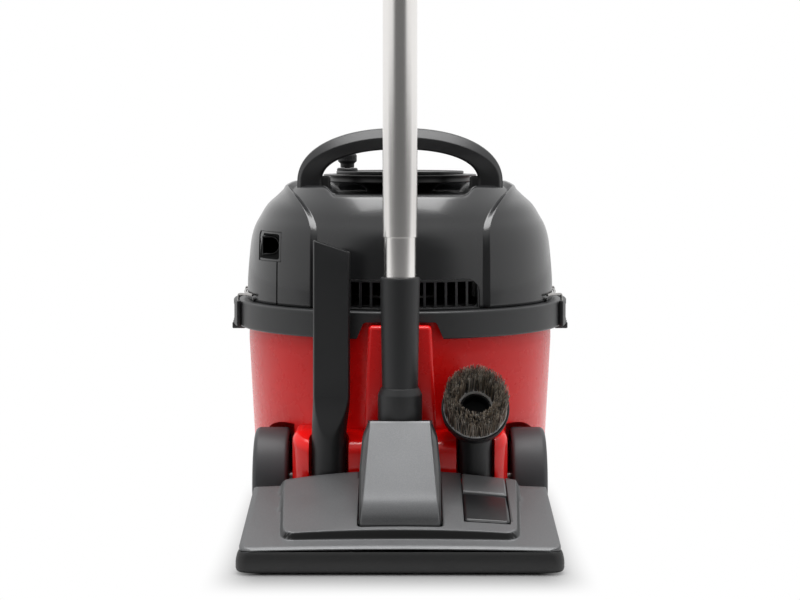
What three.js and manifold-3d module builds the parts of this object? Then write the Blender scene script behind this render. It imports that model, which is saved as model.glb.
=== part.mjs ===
// Commercial tub vacuum cleaner, parked for storage: the floor tool and its steel wand stand at
// the rear dock, and two hand tools stand on pegs in the rear base. Millimetres, +Z up.
// The rear of the machine faces -Y. Inside the machine group the origin is on the floor, under
// the centre of the round tub; the outer group moves it under the middle of the whole object.
import * as THREE from 'three';
import * as BufferGeometryUtils from 'three/addons/utils/BufferGeometryUtils.js';
import Module from 'manifold-3d';

const wasm = await Module();
wasm.setup();

// ---- Driving dimensions -------------------------------------------------------------------

const gap = 0.3; // clearance between neighbouring pieces
const beyond = 400; // how far a cutter reaches past what it cuts

// tub and its dark rim band
const tubRadius = 163;
const tubFootRadius = 155;
const tubWall = 3;
const tubUnderside = 40;
const rimWidth = 12; // from the tub's wall to the rim band's face
const rimBottom = 193;
const rimHeight = 31.5;
const rimLip = 2.2;
const rimNotchHeight = 15;
const rimNotchTopHalf = 36;
const rimNotchBottomHalf = 45;

// dock column and rear base
const wandY = -200;
const dockTopHalf = 31;
const dockBottomHalf = 36;
const dockReach = 21;
const baseHalfWidth = 107;
const baseRear = -190;
const baseBottom = 30;
const baseDeck = 105.7; // against the tub
const baseDeckRear = 96;
const baseDeckRun = 28; // of the deck's slope, forward from the rear face
const baseCornerRadius = 26;
const toolY = -178;
const pegLedge = 62;
const pegHeight = 26;
const pegRadius = 11.5;

// wheels and castors
const wheelRadius = 50;
const wheelWidth = 35;
const wheelInnerX = 113;
const wheelY = -110;
const wheelClearance = 5;
const axleRadius = 5;
const castorX = 84;
const castorY = 88;
const castorWheelRadius = 16;
const castorWheelWidth = 12;
const castorTrail = 9;
const castorStemRadius = 4;

// hose inlet at the front
const inletZ = 140;
const inletFront = 185;
const inletNeckRadius = 27;
const inletSpigotRadius = 23;
const inletBoreRadius = 19;
const inletFlangeRadius = 36;

// bag and filter
const bagHalfWidth = 118;
const bagHalfLength = 108;
const bagHalfHeight = 58;
const bagNeckRadius = 26;
const bagCardHalf = 40;
const filterDepth = 42;
const filterFootRadius = 118;
const filterCloth = 3;

// power head
const headStep = 2; // how far the head stands past the tub's wall
const domeHeight = 126.5;
const panelRecess = 5;
const panelHalfWidth = 85;
const panelTopHalf = 115;
const panelStraight = 75;
const domeWall = 11.2;
const wellDepth = 13.3; // of the winder's well under the head's top
const deckUnderWell = 5;
const wellFloorHalf = 65;
const wellTopHalf = 82;
const wellFront = 110;
const deckThickness = 4;
const grilleHalfWidth = 80;
const grilleHeight = 30;
const slotCount = 15;
const slotPitch = 10.7;
const slotWidth = 8.2;
const slotHeight = 26;
const outletInset = 28; // of the cable outlet's middle from the tub's side
const outletLift = 59.7; // of the cable outlet's middle over the dome's foot
const outletWidth = 25;
const outletHeight = 30;
const outletFaceY = -68;
const outletBoreRadius = 8.5;
const cablePassEnd = -35;
const seamWidth = 1.2;

// carry handle
const handleY = -50;
const handleHalfDepth = 14;
const handleOuterHalf = 109;
const handleOuterLift = 12; // of the handle's curves over the well's floor
const handleOuterRise = 57;
const handleInnerHalf = 82;
const handleInnerLift = 14;
const handleInnerRise = 32.4;

// cable winder
const winderY = 25;
const plateRadius = 79.3;
const plateLift = 11;
const plateThickness = 8.5;
const plateRimRadius = 84; // of the thin flange round the plate's top
const plateRimThickness = 1.6;
const pedestalRadius = 36;
const crankRadius = 70;
const crankThickness = 3.4;
const knobOrbit = 58;
const knobRadius = 10.5;
const knobHeight = 15.3;
const spindleRadius = 8;
const reelRadius = 70;
const reelHubRadius = 34;
const reelDrop = 46; // of the reel's foot under the well's floor
const reelHeight = 34;
const reelFlange = 2.5;
const reelStandRadius = 40;
const reelLegOrbit = 92;

// motor
const motorRadius = 66;
const motorDrop = 32.5; // of the motor's foot under the rim's top
const motorHeight = 88;
const motorNeckRadius = 45;
const fanRadius = 56;
const fanThickness = 9;
const fanShaftRadius = 4;

// switch on the shoulder
const switchX = 99;
const switchWidth = 15;
const switchLength = 24;
const switchStand = 1.7;
const switchTravel = 2.5;

// side clips
const clipThickness = 4.3;
const clipHalfLength = 50;
const clipPivotLift = 2; // of the clip's axle over the rim's foot
const clipKnuckleRadius = 2.2;
const clipPivotStand = 2.8; // of the clip's axle past the rim band's face
const bailWire = 2.5;
const bailStand = 2.8; // of the bail wire past the dome's foot
const bailLift = 7;
const lugAngle = 22;
const lugRadius = 2.05;

// floor tool
const toolFront = -323;
const toolRear = -198;
const toolFrontHalf = 150;
const toolRearHalf = 145;
const toolFlare = 2.5; // how far the bumper's top edge and the deck stand in
const toolCorner = 11;
const soleBottom = 1.5;
const crownSteps = 10;
const soleTop = 24;
const soleThickness = 11.5;
const slotRoomFront = 19; // from the bumper's face to the suction slot
const slotRoomWidth = 9;
const deckRearTop = 60.5;
const deckCrown = 3.5; // how much lower the deck is at its sides than in its middle
const panelFront = -306;
const panelFrontTop = 36.8;
const panelRearTop = 73.4;
const panelFrontCrown = 7;
const panelRearCrown = 16;
const panelFrontHalf = 110;
const panelRearHalf = 116;
const neckPivotY = -267;
const neckPivotZ = 32;
const drumRadius = 26;
const neckSlotHalf = 39.5;
const trunnionRadius = 6;
const trunnionLength = 6;
const ductRadius = 14;
const pedalLeft = 60;
const pedalRight = 102;
const pedalFront = -288;
const pedalStep = -234;
const pedalFloor = 34;
const stripThickness = 4;
const stripLow = 5;
const stripHeight = 8;
const toolWheelRadius = 9;
const toolWheelWidth = 10;
const toolWheelX = 108;
const toolWheelY = -214;

// neck and wand
const neckTopZ = 122;
const neckTopFront = -225;
const neckTopHalf = 31;
const neckNoseHalf = 38.2;
const neckNoseFront = -295.5;
const neckNoseZ = 40;
const coverThickness = 3;
const collarRadius = 21.65;
const collarHeight = 32;
const cuffBottomRadius = 17.6;
const cuffTopRadius = 19.4;
const cuffTop = 261;
const swageRadius = 15.75;
const swageShown = 39; // of the wand's narrow end over the cuff
const wandRadius = 17;
const wandWall = 1.2;
const wandEntry = 46;
const wandSectionLength = 490;
const swageLength = 85;

// hand tools
const creviceX = -70;
const creviceStemRadius = 17.5;
const creviceBoreRadius = 12;
const creviceBladeWidth = 37;
const creviceBladeDepth = 15;
const creviceBlend = 102;
const creviceBladeStart = 143;
const creviceTipLeft = 296;
const creviceTipRight = 284;
const brushX = 74;
const brushStemRadius = 16.8;
const brushFaceY = -190;
const brushFaceZ = 132;
const brushTilt = 30;
const brushRimRadius = 33.5;
const brushHeadDepth = 22;
const brushInnerRadius = 17.5;
const bristleLength = 30;
const bristleRadius = 0.75;
const bristleRows = 5;
const bristleSpacing = 2.5;
const bristleFlare = 1.02;
const bristleBacking = 3;

// ---- Derived levels -----------------------------------------------------------------------

const rimTop = rimBottom + rimHeight;
const domeBase = rimTop + gap;
const domeTop = domeBase + domeHeight;
const rimRadius = tubRadius + rimWidth;
const domeRadius = tubRadius + headStep;
const rearZone = -0.6 * tubRadius; // cutters from the rear stop at this plane
const wellFloor = domeTop - wellDepth;
const handleOuterFoot = wellFloor + handleOuterLift;
const handleInnerFoot = wellFloor + handleInnerLift;
const plateBottom = wellFloor + plateLift;
const plateTop = plateBottom + plateThickness;
const reelBottom = wellFloor - reelDrop;
const motorBottom = rimTop - motorDrop;
const motorTop = motorBottom + motorHeight;
const switchTop = domeTop + switchStand;
const clipBottom = rimBottom + clipPivotLift;
const clipPivotX = rimRadius + clipPivotStand;
const bailRadius = domeRadius + bailStand;
const bailZ = domeBase + bailLift;
const outletX = outletInset - tubRadius;
const outletZ = domeBase + outletLift;
const stripReach = toolRearHalf - 17;
const swageShoulder = cuffTop + swageShown;
const wandBottom = cuffTop - wandEntry;
const wandJoint = wandBottom + wandSectionLength;
const bodyToObject = -(toolFront + inletFront) / 2;

// ---- Solids -------------------------------------------------------------------------------

// A closed geometry as a solid with its faces turned out.
function solid(geometry) {
  const bare = geometry.index ? geometry.toNonIndexed() : geometry.clone();
  bare.deleteAttribute('normal');
  bare.deleteAttribute('uv');
  const merged = BufferGeometryUtils.mergeVertices(bare, 1e-3);
  const faces = [];
  const corners = merged.index.array;
  for (let i = 0; i < corners.length; i += 3) {
    const [a, b, c] = [corners[i], corners[i + 1], corners[i + 2]];
    if (a !== b && b !== c && c !== a) faces.push(a, b, c);
  }
  const vertProperties = merged.attributes.position.array;
  if (signedVolume(vertProperties, faces) < 0) faces.reverse();
  const triVerts = new Uint32Array(faces);
  return new wasm.Manifold(new wasm.Mesh({ numProp: 3, vertProperties, triVerts }));
}

function signedVolume(positions, faces) {
  const [a, b, c] = [new THREE.Vector3(), new THREE.Vector3(), new THREE.Vector3()];
  let sum = 0;
  for (let i = 0; i < faces.length; i += 3) {
    a.fromArray(positions, 3 * faces[i]);
    b.fromArray(positions, 3 * faces[i + 1]);
    c.fromArray(positions, 3 * faces[i + 2]);
    sum += a.dot(b.cross(c));
  }
  return sum;
}

function geometryOf(made) {
  const mesh = made.getMesh();
  const geometry = new THREE.BufferGeometry();
  geometry.setAttribute('position', new THREE.BufferAttribute(mesh.vertProperties, 3));
  geometry.setIndex(new THREE.BufferAttribute(mesh.triVerts, 1));
  geometry.computeVertexNormals();
  return geometry;
}

function joined(...solids) {
  return solids.reduce((sum, next) => sum.add(next));
}

function cut(from, ...cutters) {
  return cutters.reduce((left, cutter) => left.subtract(cutter), from);
}

// A box between two opposite corners.
function box([x0, y0, z0], [x1, y1, z1]) {
  const geometry = new THREE.BoxGeometry(x1 - x0, y1 - y0, z1 - z0);
  return solid(geometry.translate((x0 + x1) / 2, (y0 + y1) / 2, (z0 + z1) / 2));
}

// A profile of [radius, height] points turned about a vertical axis.
function turned(profile, segments = 36, x = 0, y = 0) {
  const points = profile.map(([r, z]) => new THREE.Vector2(r, z));
  const geometry = new THREE.LatheGeometry(points, segments);
  return solid(geometry.rotateX(Math.PI / 2).translate(x, y, 0));
}

// The same about an axis along X through (y, z): the profile's heights are X positions.
function turnedAlongX(profile, y, z, segments = 20) {
  const points = profile.map(([r, h]) => new THREE.Vector2(r, h));
  const geometry = new THREE.LatheGeometry(points, segments);
  return solid(geometry.rotateZ(-Math.PI / 2).translate(0, y, z));
}

// The same about an axis along Y through (x, z): the profile's heights are Y positions.
function turnedAlongY(profile, x, z, segments = 20) {
  const points = profile.map(([r, h]) => new THREE.Vector2(r, h));
  return solid(new THREE.LatheGeometry(points, segments).translate(x, 0, z));
}

function drum(radius, z0, z1, x = 0, y = 0, segments = 20) {
  return turned([[0, z0], [radius, z0], [radius, z1], [0, z1]], segments, x, y);
}

function drumAlongX(radius, x0, x1, y, z, segments = 16) {
  return turnedAlongX([[0, x0], [radius, x0], [radius, x1], [0, x1]], y, z, segments);
}

function drumAlongY(radius, y0, y1, x, z, segments = 20) {
  return turnedAlongY([[0, y0], [radius, y0], [radius, y1], [0, y1]], x, z, segments);
}

// A round bar between two points.
function bar(radius, from, to, segments = 16) {
  const start = new THREE.Vector3(...from);
  const run = new THREE.Vector3(...to).sub(start);
  const geometry = new THREE.CylinderGeometry(radius, radius, run.length(), segments);
  geometry.translate(0, run.length() / 2, 0);
  const turn = new THREE.Quaternion();
  turn.setFromUnitVectors(new THREE.Vector3(0, 1, 0), run.normalize());
  geometry.applyQuaternion(turn).translate(start.x, start.y, start.z);
  return solid(geometry);
}

// An outline of [x, y] points raised from z0 to z1.
function raised(outline, z0, z1) {
  const shape = new THREE.Shape(outline.map(([x, y]) => new THREE.Vector2(x, y)));
  const geometry = new THREE.ExtrudeGeometry(shape, { depth: z1 - z0, bevelEnabled: false });
  return solid(geometry.translate(0, 0, z0));
}

// An outline of [x, z] points drawn out along Y, and one of [y, z] points along X.
function alongY(outline, y0, y1) {
  const shape = new THREE.Shape(outline.map(([x, z]) => new THREE.Vector2(x, z)));
  const geometry = new THREE.ExtrudeGeometry(shape, { depth: y1 - y0, bevelEnabled: false });
  return solid(geometry.rotateX(Math.PI / 2).translate(0, y1, 0));
}

function alongX(outline, x0, x1) {
  const shape = new THREE.Shape(outline.map(([y, z]) => new THREE.Vector2(y, z)));
  const geometry = new THREE.ExtrudeGeometry(shape, { depth: x1 - x0, bevelEnabled: false });
  geometry.rotateX(Math.PI / 2).rotateZ(Math.PI / 2);
  return solid(geometry.translate(x0, 0, 0));
}

// A skin over rings of points, each ring convex and with as many points as the first.
function lofted(rings) {
  const count = rings[0].length;
  const positions = rings.flat(2);
  const faces = [];
  for (let ring = 0; ring + 1 < rings.length; ring++) {
    for (let i = 0; i < count; i++) {
      const here = ring * count + i;
      const next = ring * count + (i + 1) % count;
      faces.push(here, next, next + count, here, next + count, here + count);
    }
  }
  const last = (rings.length - 1) * count;
  for (let i = 1; i + 1 < count; i++) {
    faces.push(0, i + 1, i);
    faces.push(last, last + i, last + i + 1);
  }
  const geometry = new THREE.BufferGeometry();
  geometry.setAttribute('position', new THREE.Float32BufferAttribute(positions, 3));
  geometry.setIndex(faces);
  return solid(geometry);
}

// Points on an arc, angles in degrees.
function arc(cx, cy, radius, from, to, steps) {
  const points = [];
  for (let i = 0; i <= steps; i++) {
    const angle = THREE.MathUtils.degToRad(from + (to - from) * i / steps);
    points.push([cx + radius * Math.cos(angle), cy + radius * Math.sin(angle)]);
  }
  return points;
}

// ---- Materials and nodes ------------------------------------------------------------------

function finish(color, roughness, metalness = 0) {
  return () => new THREE.MeshStandardMaterial({ color, roughness, metalness });
}

const redPlastic = finish(0xa81414, 0.2);
const redBase = finish(0xd01010, 0.15);
const headPlastic = finish(0x36373a, 0.25);
const rimPlastic = finish(0x333436, 0.45);
const blackPlastic = finish(0x222324, 0.5);
const greyPlastic = finish(0x5f6163, 0.45);
const coverPlastic = finish(0x77797a, 0.45);
const steel = finish(0xb9b5b1, 0.3, 1);
const rubber = finish(0x1b1b1c, 0.8);
const wheelPlastic = finish(0x3d3e40, 0.5);
const cloth = finish(0xd9d6cc, 0.95);
const card = finish(0xc9b28a, 0.9);
const hair = finish(0x3b342e, 0.95);
const redButton = finish(0xc81818, 0.3);

const machine = new THREE.Group();

function add(name, made, material, parent = machine) {
  const mesh = new THREE.Mesh(geometryOf(made), material());
  mesh.name = name;
  parent.add(mesh);
  return mesh;
}

// ---- Tub, rim and rear base ---------------------------------------------------------------

const tubTop = rimTop - rimLip;

// Outside of the tub, grown by a clearance.
function tubBlank(grow, bottom, top) {
  const foot = tubFootRadius + grow;
  const wall = tubRadius + grow;
  return turned([[0, bottom], [foot - 8, bottom], [foot, bottom + 8], [wall, rimBottom - 11],
    [wall, top], [0, top]]);
}

// Room for both rear wheels, shrunk by a wall.
function wheelWells(shrink) {
  const radius = wheelRadius + wheelClearance + shrink;
  const inner = wheelInnerX - wheelClearance - shrink;
  return joined(
    drumAlongX(radius, inner, beyond, wheelY, wheelRadius, 24),
    drumAlongX(radius, -beyond, -inner, wheelY, wheelRadius, 24),
  );
}

function dockColumn() {
  const outline = [[-dockBottomHalf, baseDeck + gap], [dockBottomHalf, baseDeck + gap],
    [dockTopHalf, rimBottom + rimNotchHeight - gap], [-dockTopHalf, rimBottom + rimNotchHeight - gap]];
  const block = alongY(outline, -tubRadius - dockReach, -tubRadius + 12);
  const channel = drum(collarRadius + gap, 0, beyond, 0, wandY);
  return cut(block, channel);
}

// A boss inside the tub with a blind hole from the wheel well for one stub axle.
function axleBoss(side, grow = 0) {
  const inner = wheelInnerX - wheelClearance - 22 - grow;
  const [x0, x1] = [side * inner, side * (wheelInnerX - wheelClearance + grow)].sort((a, b) => a - b);
  return drumAlongX(axleRadius + 5 + grow, x0, x1, wheelY, wheelRadius, 12);
}

function axleHole(side) {
  const inner = wheelInnerX - wheelClearance - 18;
  const [x0, x1] = [side * inner, side * beyond].sort((a, b) => a - b);
  return drumAlongX(axleRadius + gap, x0, x1, wheelY, wheelRadius, 12);
}

{
  const outside = cut(tubBlank(0, tubUnderside, tubTop), wheelWells(0));
  const roomFloor = tubUnderside + tubWall;
  const inside = cut(tubBlank(-tubWall, roomFloor, beyond), wheelWells(tubWall));
  let tub = joined(cut(outside, inside), cut(dockColumn(), inside));
  for (const side of [-1, 1]) {
    tub = joined(tub, axleBoss(side));
    tub = cut(tub, axleHole(side));
    tub = joined(tub, drum(castorStemRadius + 5, tubUnderside, tubUnderside + 20,
      side * castorX, castorY, 12));
    tub = cut(tub, drum(castorStemRadius + gap, 0, tubUnderside + 16, side * castorX, castorY, 12));
  }
  tub = cut(tub, drumAlongY(inletSpigotRadius + gap, 0, beyond, 0, inletZ));
  add('tub', tub, redPlastic);
}

// The clip's axle pins stand in ears of the rim.
function clipEars(side) {
  const parts = [];
  const earX = [rimRadius - 9, clipPivotX];
  for (const end of [-1, 1]) {
    const ys = [end * 20.3, end * 25].sort((a, b) => a - b);
    const xs = earX.map((x) => side * x).sort((a, b) => a - b);
    const low = clipBottom - clipKnuckleRadius;
    parts.push(box([xs[0], ys[0], low], [xs[1], ys[1], clipBottom + clipKnuckleRadius]));
    parts.push(drumAlongY(clipKnuckleRadius, ...ys, side * clipPivotX, clipBottom, 12));
    const pin = [end * 17, end * 21].sort((a, b) => a - b);
    parts.push(drumAlongY(1, ...pin, side * clipPivotX, clipBottom, 8));
  }
  return joined(...parts);
}

{
  const inner = tubRadius + gap;
  const band = turned([[inner, rimBottom], [rimRadius - 2, rimBottom], [rimRadius, rimBottom + 2],
    [rimRadius, rimTop - 2.5], [rimRadius - 2.5, rimTop], [inner, rimTop], [inner, rimBottom]]);
  const notch = alongY([[-rimNotchBottomHalf, 0], [rimNotchBottomHalf, 0],
    [rimNotchBottomHalf, rimBottom], [rimNotchTopHalf, rimBottom + rimNotchHeight],
    [-rimNotchTopHalf, rimBottom + rimNotchHeight], [-rimNotchBottomHalf, rimBottom]], -beyond, rearZone);
  add('rim_band', joined(cut(band, notch), clipEars(-1), clipEars(1)), rimPlastic);
}

{
  const r = baseCornerRadius;
  const outline = [
    [-baseHalfWidth, baseRear / 2],
    ...arc(-baseHalfWidth + r, baseRear + r, r, 180, 270, 6),
    ...arc(baseHalfWidth - r, baseRear + r, r, 270, 360, 6),
    [baseHalfWidth, baseRear / 2],
  ];
  // The deck slopes down from the tub to the rear face.
  const slope = (baseDeck - baseDeckRear) / baseDeckRun;
  const behind = baseRear - 20;
  const sky = (x) => [[x, behind, baseDeckRear - 20 * slope], [x, baseRear + baseDeckRun, baseDeck],
    [x, baseRear + baseDeckRun, beyond], [x, behind, beyond]];
  let base = cut(raised(outline, baseBottom, baseDeck), lofted([sky(-beyond), sky(beyond)]));
  base = cut(base, tubBlank(gap, tubUnderside - gap, beyond), axleBoss(-1, gap), axleBoss(1, gap));
  for (const [x, radius] of [[creviceX, creviceStemRadius], [brushX, brushStemRadius]]) {
    base = cut(base, drum(radius + 2, pegLedge, beyond, x, toolY, 24),
      box([x - radius - 2, -beyond, pegLedge], [x + radius + 2, toolY, beyond]));
    base = joined(base, drum(pegRadius, pegLedge - 1, pegLedge + pegHeight, x, toolY, 16));
  }
  add('rear_base', base, redBase);
}

// ---- Wheels and castors -------------------------------------------------------------------

for (const [name, side] of [['left', -1], ['right', 1]]) {
  const inner = wheelInnerX;
  const outer = wheelInnerX + wheelWidth;
  const bore = axleRadius + gap;
  const profile = [[bore, inner], [wheelRadius - 3, inner], [wheelRadius, inner + 3],
    [wheelRadius, outer - 7], [wheelRadius - 7, outer], [20, outer], [20, outer - 5],
    [bore, outer - 5], [bore, inner]];
  const wheel = turnedAlongX(profile.map(([r, x]) => [r, side * x]), wheelY, wheelRadius, 28);
  add(`rear_wheel_${name}`, wheel, wheelPlastic);

  const ends = [side * (wheelInnerX - wheelClearance - 17), side * (outer - 5.5)];
  ends.sort((a, b) => a - b);
  add(`wheel_axle_${name}`, drumAlongX(axleRadius, ...ends, wheelY, wheelRadius, 12), steel);

  const cap = turnedAlongX([[0, outer - 4.7], [19.5, outer - 4.7], [19.5, outer - 1.5],
    [14, outer + 0.5], [0, outer + 1]].map(([r, x]) => [r, side * x]), wheelY, wheelRadius, 16);
  add(`hub_cap_${name}`, cap, blackPlastic);

  const half = castorWheelWidth / 2;
  const wheelAt = castorY + castorTrail;
  const plateTop = tubUnderside - gap;
  const plateLow = plateTop - 3.5;
  let fork = joined(
    drum(15, plateLow, plateTop, side * castorX, castorY, 14),
    drum(castorStemRadius, plateLow, tubUnderside + 15, side * castorX, castorY, 8),
  );
  for (const edge of [-1, 1]) {
    const xs = [half + 1, half + 4].map((x) => side * castorX + edge * x).sort((a, b) => a - b);
    fork = joined(fork, box([xs[0], wheelAt - 6, castorWheelRadius - 5],
      [xs[1], wheelAt + 4, plateLow + 1]));
  }
  const pinEnds = [side * castorX - half - 2, side * castorX + half + 2];
  fork = joined(fork, drumAlongX(2, ...pinEnds, wheelAt, castorWheelRadius, 8));
  add(`castor_fork_${name}`, fork, blackPlastic);
  const tread = turnedAlongX([[2.3, -half], [castorWheelRadius - 2, -half],
    [castorWheelRadius, 2 - half], [castorWheelRadius, half - 2], [castorWheelRadius - 2, half],
    [2.3, half], [2.3, -half]].map(([r, x]) => [r, x + side * castorX]), wheelAt,
    castorWheelRadius, 14);
  add(`castor_wheel_${name}`, tread, rubber);
}

// ---- Hose inlet, bag and filter -----------------------------------------------------------

{
  const wallFront = tubRadius + gap;
  const inner = bagHalfLength + 14;
  const inlet = turnedAlongY([[inletBoreRadius, inner], [inletSpigotRadius, inner],
    [inletSpigotRadius, wallFront], [inletFlangeRadius, wallFront], [inletFlangeRadius, wallFront + 4],
    [inletNeckRadius, wallFront + 6], [inletNeckRadius, inletFront], [inletBoreRadius + 3, inletFront],
    [inletBoreRadius + 3, inletFront - 8], [inletBoreRadius, inletFront - 8],
    [inletBoreRadius, inner]], 0, inletZ, 20);
  add('hose_inlet', inlet, blackPlastic);
  const outer = inletBoreRadius + 3 - gap;
  const seal = turnedAlongY([[inletBoreRadius - 1, inletFront - 7.7], [outer, inletFront - 7.7],
    [outer, inletFront - 1], [inletBoreRadius - 1, inletFront - 1],
    [inletBoreRadius - 1, inletFront - 7.7]], 0, inletZ, 16);
  add('inlet_seal', seal, rubber);

  const plateY = inner + 1.5;
  const hole = drumAlongY(inletSpigotRadius + gap, -beyond, beyond, 0, inletZ);
  const plate = box([-bagCardHalf, plateY, inletZ - bagCardHalf],
    [bagCardHalf, plateY + 3, inletZ + bagCardHalf - 8]);
  add('bag_collar', cut(plate, hole), card);

  const ball = new THREE.SphereGeometry(1, 16, 8).rotateX(Math.PI / 2);
  ball.scale(bagHalfWidth, bagHalfLength, bagHalfHeight);
  const bagZ = tubUnderside + tubWall + bagHalfHeight + 20.5;
  ball.translate(0, 0, bagZ);
  const neck = drumAlongY(bagNeckRadius, 40, inner - gap, 0, inletZ);
  const mouth = drumAlongY(bagNeckRadius, inner - 2, plateY - gap, 0, inletZ);
  const spigotRoom = drumAlongY(inletSpigotRadius + gap, inner - gap, beyond, 0, inletZ);
  const bag = cut(joined(solid(ball), neck, mouth), spigotRoom);
  add('dust_bag', bag, cloth);
}

{
  const outer = tubRadius - tubWall - gap;
  const ringLow = tubTop - 8;
  const ring = turned([[outer - 8, ringLow], [outer, ringLow], [outer, tubTop + gap],
    [tubRadius - 0.5, tubTop + gap], [tubRadius - 0.5, rimTop - 0.2], [outer - 8, rimTop - 0.2],
    [outer - 8, ringLow]]);
  add('filter_ring', ring, blackPlastic);
  const top = outer - 8 - 3 * gap;
  const low = rimTop - filterDepth;
  const bowl = turned([[0, low], [filterFootRadius, low], [top, ringLow + 2], [top, rimTop - 1],
    [top - filterCloth, rimTop - 1], [top - filterCloth, ringLow + 3],
    [filterFootRadius - filterCloth, low + filterCloth], [0, low + filterCloth]], 20);
  add('filter_cloth', bowl, cloth);
}

// ---- Power head ---------------------------------------------------------------------------

// Outside of the dome as [radius, height above its foot].
const domeOutline = [[165, 0], [164.5, 25], [162, 55], [156.5, 79], [150, 91],
  [141, 104.5], [125, 121], [114, 126.5], [82, 122.5]];
const scaleR = domeRadius / domeOutline[0][0];
const scaleZ = domeHeight / Math.max(...domeOutline.map(([, z]) => z));

function domeBlank(shrink) {
  const points = domeOutline.map(([r, z]) => [r * scaleR - shrink, domeBase + z * scaleZ]);
  return turned([[0, domeBase], ...points, [0, points[points.length - 1][1]]], 44);
}

// Room inside the dome, a wall in from the outline and level under the winder's well.
function domeRoom() {
  const at = ([r, z], drop = 0) => [r * scaleR - domeWall, domeBase + z * scaleZ - drop];
  return turned([[0, domeBase - 10], [domeRadius - domeWall, domeBase - 10],
    [domeRadius - domeWall, domeBase + 8], at(domeOutline[2]),
    at(domeOutline[3]), at(domeOutline[4], 3), [118, wellFloor - deckUnderWell],
    [0, wellFloor - deckUnderWell]]);
}

// The rear panel between the shoulder ridges, seen from behind.
function rearPanelOutline() {
  const right = [[panelHalfWidth, domeBase - 1], [panelHalfWidth, domeBase + panelStraight]];
  const steps = 5;
  for (let i = 1; i <= steps; i++) {
    const t = i / steps;
    const x = panelHalfWidth + (panelTopHalf - panelHalfWidth) * t * t;
    right.push([x, domeBase + panelStraight + (domeHeight + 2 - panelStraight) * t]);
  }
  return [...right, ...right.map(([x, z]) => [-x, z]).reverse()];
}

function winderWell() {
  const outline = [[-wellFloorHalf, wellFloor], [wellFloorHalf, wellFloor],
    [wellTopHalf, domeTop - 4], [wellTopHalf + 4, domeTop + 5], [-wellTopHalf - 4, domeTop + 5],
    [-wellTopHalf, domeTop - 4]];
  return alongY(outline, -beyond, wellFront);
}

function grilleOutline(grow) {
  const half = grilleHalfWidth + grow;
  const top = domeBase + grilleHeight + grow;
  const r = 14;
  return [[-half, domeBase - 1], [half, domeBase - 1], ...arc(half - r, top - r, r, 0, 90, 5),
    ...arc(-half + r, top - r, r, 90, 180, 5)];
}

const panelRadius = domeRadius - panelRecess;
const outletBox = {
  low: [outletX - outletWidth / 2, outletZ - outletHeight / 2],
  high: [outletX + outletWidth / 2, outletZ + outletHeight / 2],
};

function handleFoot(side, grow) {
  const xs = [handleInnerHalf - 1 - grow, handleOuterHalf + grow].map((x) => side * x);
  xs.sort((a, b) => a - b);
  const half = handleHalfDepth + grow;
  return box([xs[0], handleY - half, wellFloor + gap - grow], [xs[1], handleY + half, wellFloor + 18]);
}

{
  const blank = domeBlank(0);
  const panelKeep = turned([[0, domeBase - 5], [panelRadius, domeBase - 5], [panelRadius - 1, domeBase + 30],
    [panelRadius - 3, domeBase + 54], [panelRadius - 8, domeBase + 77], [panelRadius - 13.4, domeBase + 86.6],
    [panelRadius - 22, domeBase + 100.8], [panelRadius - 37.2, domeTop - 10.1],
    [panelRadius - 44.1, domeTop - 4.1], [wellTopHalf, domeTop - 7.5],
    [0, domeTop - 7.5]], 40);
  const panelCut = cut(alongY(rearPanelOutline(), -beyond, -20), panelKeep);
  let dome = cut(blank, panelCut, winderWell(), domeRoom());
  dome = cut(dome, alongY(grilleOutline(gap), -beyond, rearZone));
  dome = cut(dome, box([outletBox.low[0] - gap, -beyond, outletBox.low[1] - gap],
    [outletBox.high[0] + gap, outletFaceY + 9 + gap, outletBox.high[1] + gap]));
  dome = cut(dome, box([outletX - outletBoreRadius, outletFaceY, outletZ - outletBoreRadius],
    [outletX + outletBoreRadius, cablePassEnd, outletZ + outletBoreRadius]));
  dome = cut(dome, box([outletX - seamWidth / 2, -beyond, domeBase - 5],
    [outletX + seamWidth / 2, outletFaceY - 25.4, outletBox.low[1] - 4]));
  dome = cut(dome, drum(spindleRadius + gap, wellFloor - 20, beyond, 0, winderY, 16));
  for (const side of [-1, 1]) {
    dome = cut(dome, handleFoot(side, gap));
    for (const end of [-1, 1]) {
      const angle = THREE.MathUtils.degToRad(end * lugAngle);
      const [x, y] = [side * Math.cos(angle), Math.sin(angle)];
      const lug = domeBase + lugRadius + 0.2;
      const [lugFoot, lugEnd] = [domeRadius - 4, domeRadius + 2.3];
      dome = joined(dome, bar(lugRadius, [x * lugFoot, y * lugFoot, lug], [x * lugEnd, y * lugEnd, lug], 8));
    }
  }
  const pocket = [switchX - switchWidth / 2 - gap, winderY - switchLength / 2 - gap, wellFloor + gap];
  dome = cut(dome, box(pocket, [switchX + switchWidth / 2 + gap, winderY + switchLength / 2 + gap, beyond]));
  add('power_head_dome', dome, headPlastic);
}

{
  // The grille is a curved plate in the dome's rear opening, seated on the rim.
  const shell = turned([[panelRadius - 6, domeBase], [panelRadius - gap, domeBase],
    [panelRadius - 1.3, domeBase + grilleHeight + 10], [panelRadius - 6, domeBase + grilleHeight + 10], [panelRadius - 6, domeBase]]);
  let grille = shell.intersect(alongY(grilleOutline(0), -beyond, rearZone));
  for (let i = 0; i < slotCount; i++) {
    const x = (i - (slotCount - 1) / 2) * slotPitch;
    const trim = Math.abs(i - (slotCount - 1) / 2) > (slotCount - 1) / 2 - 0.5 ? 4 : 0;
    grille = cut(grille, box([x - slotWidth / 2, -beyond, domeBase + 2 + trim],
      [x + slotWidth / 2, rearZone, domeBase + 2 + slotHeight - trim]));
  }
  add('exhaust_grille', grille, blackPlastic);
}

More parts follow.
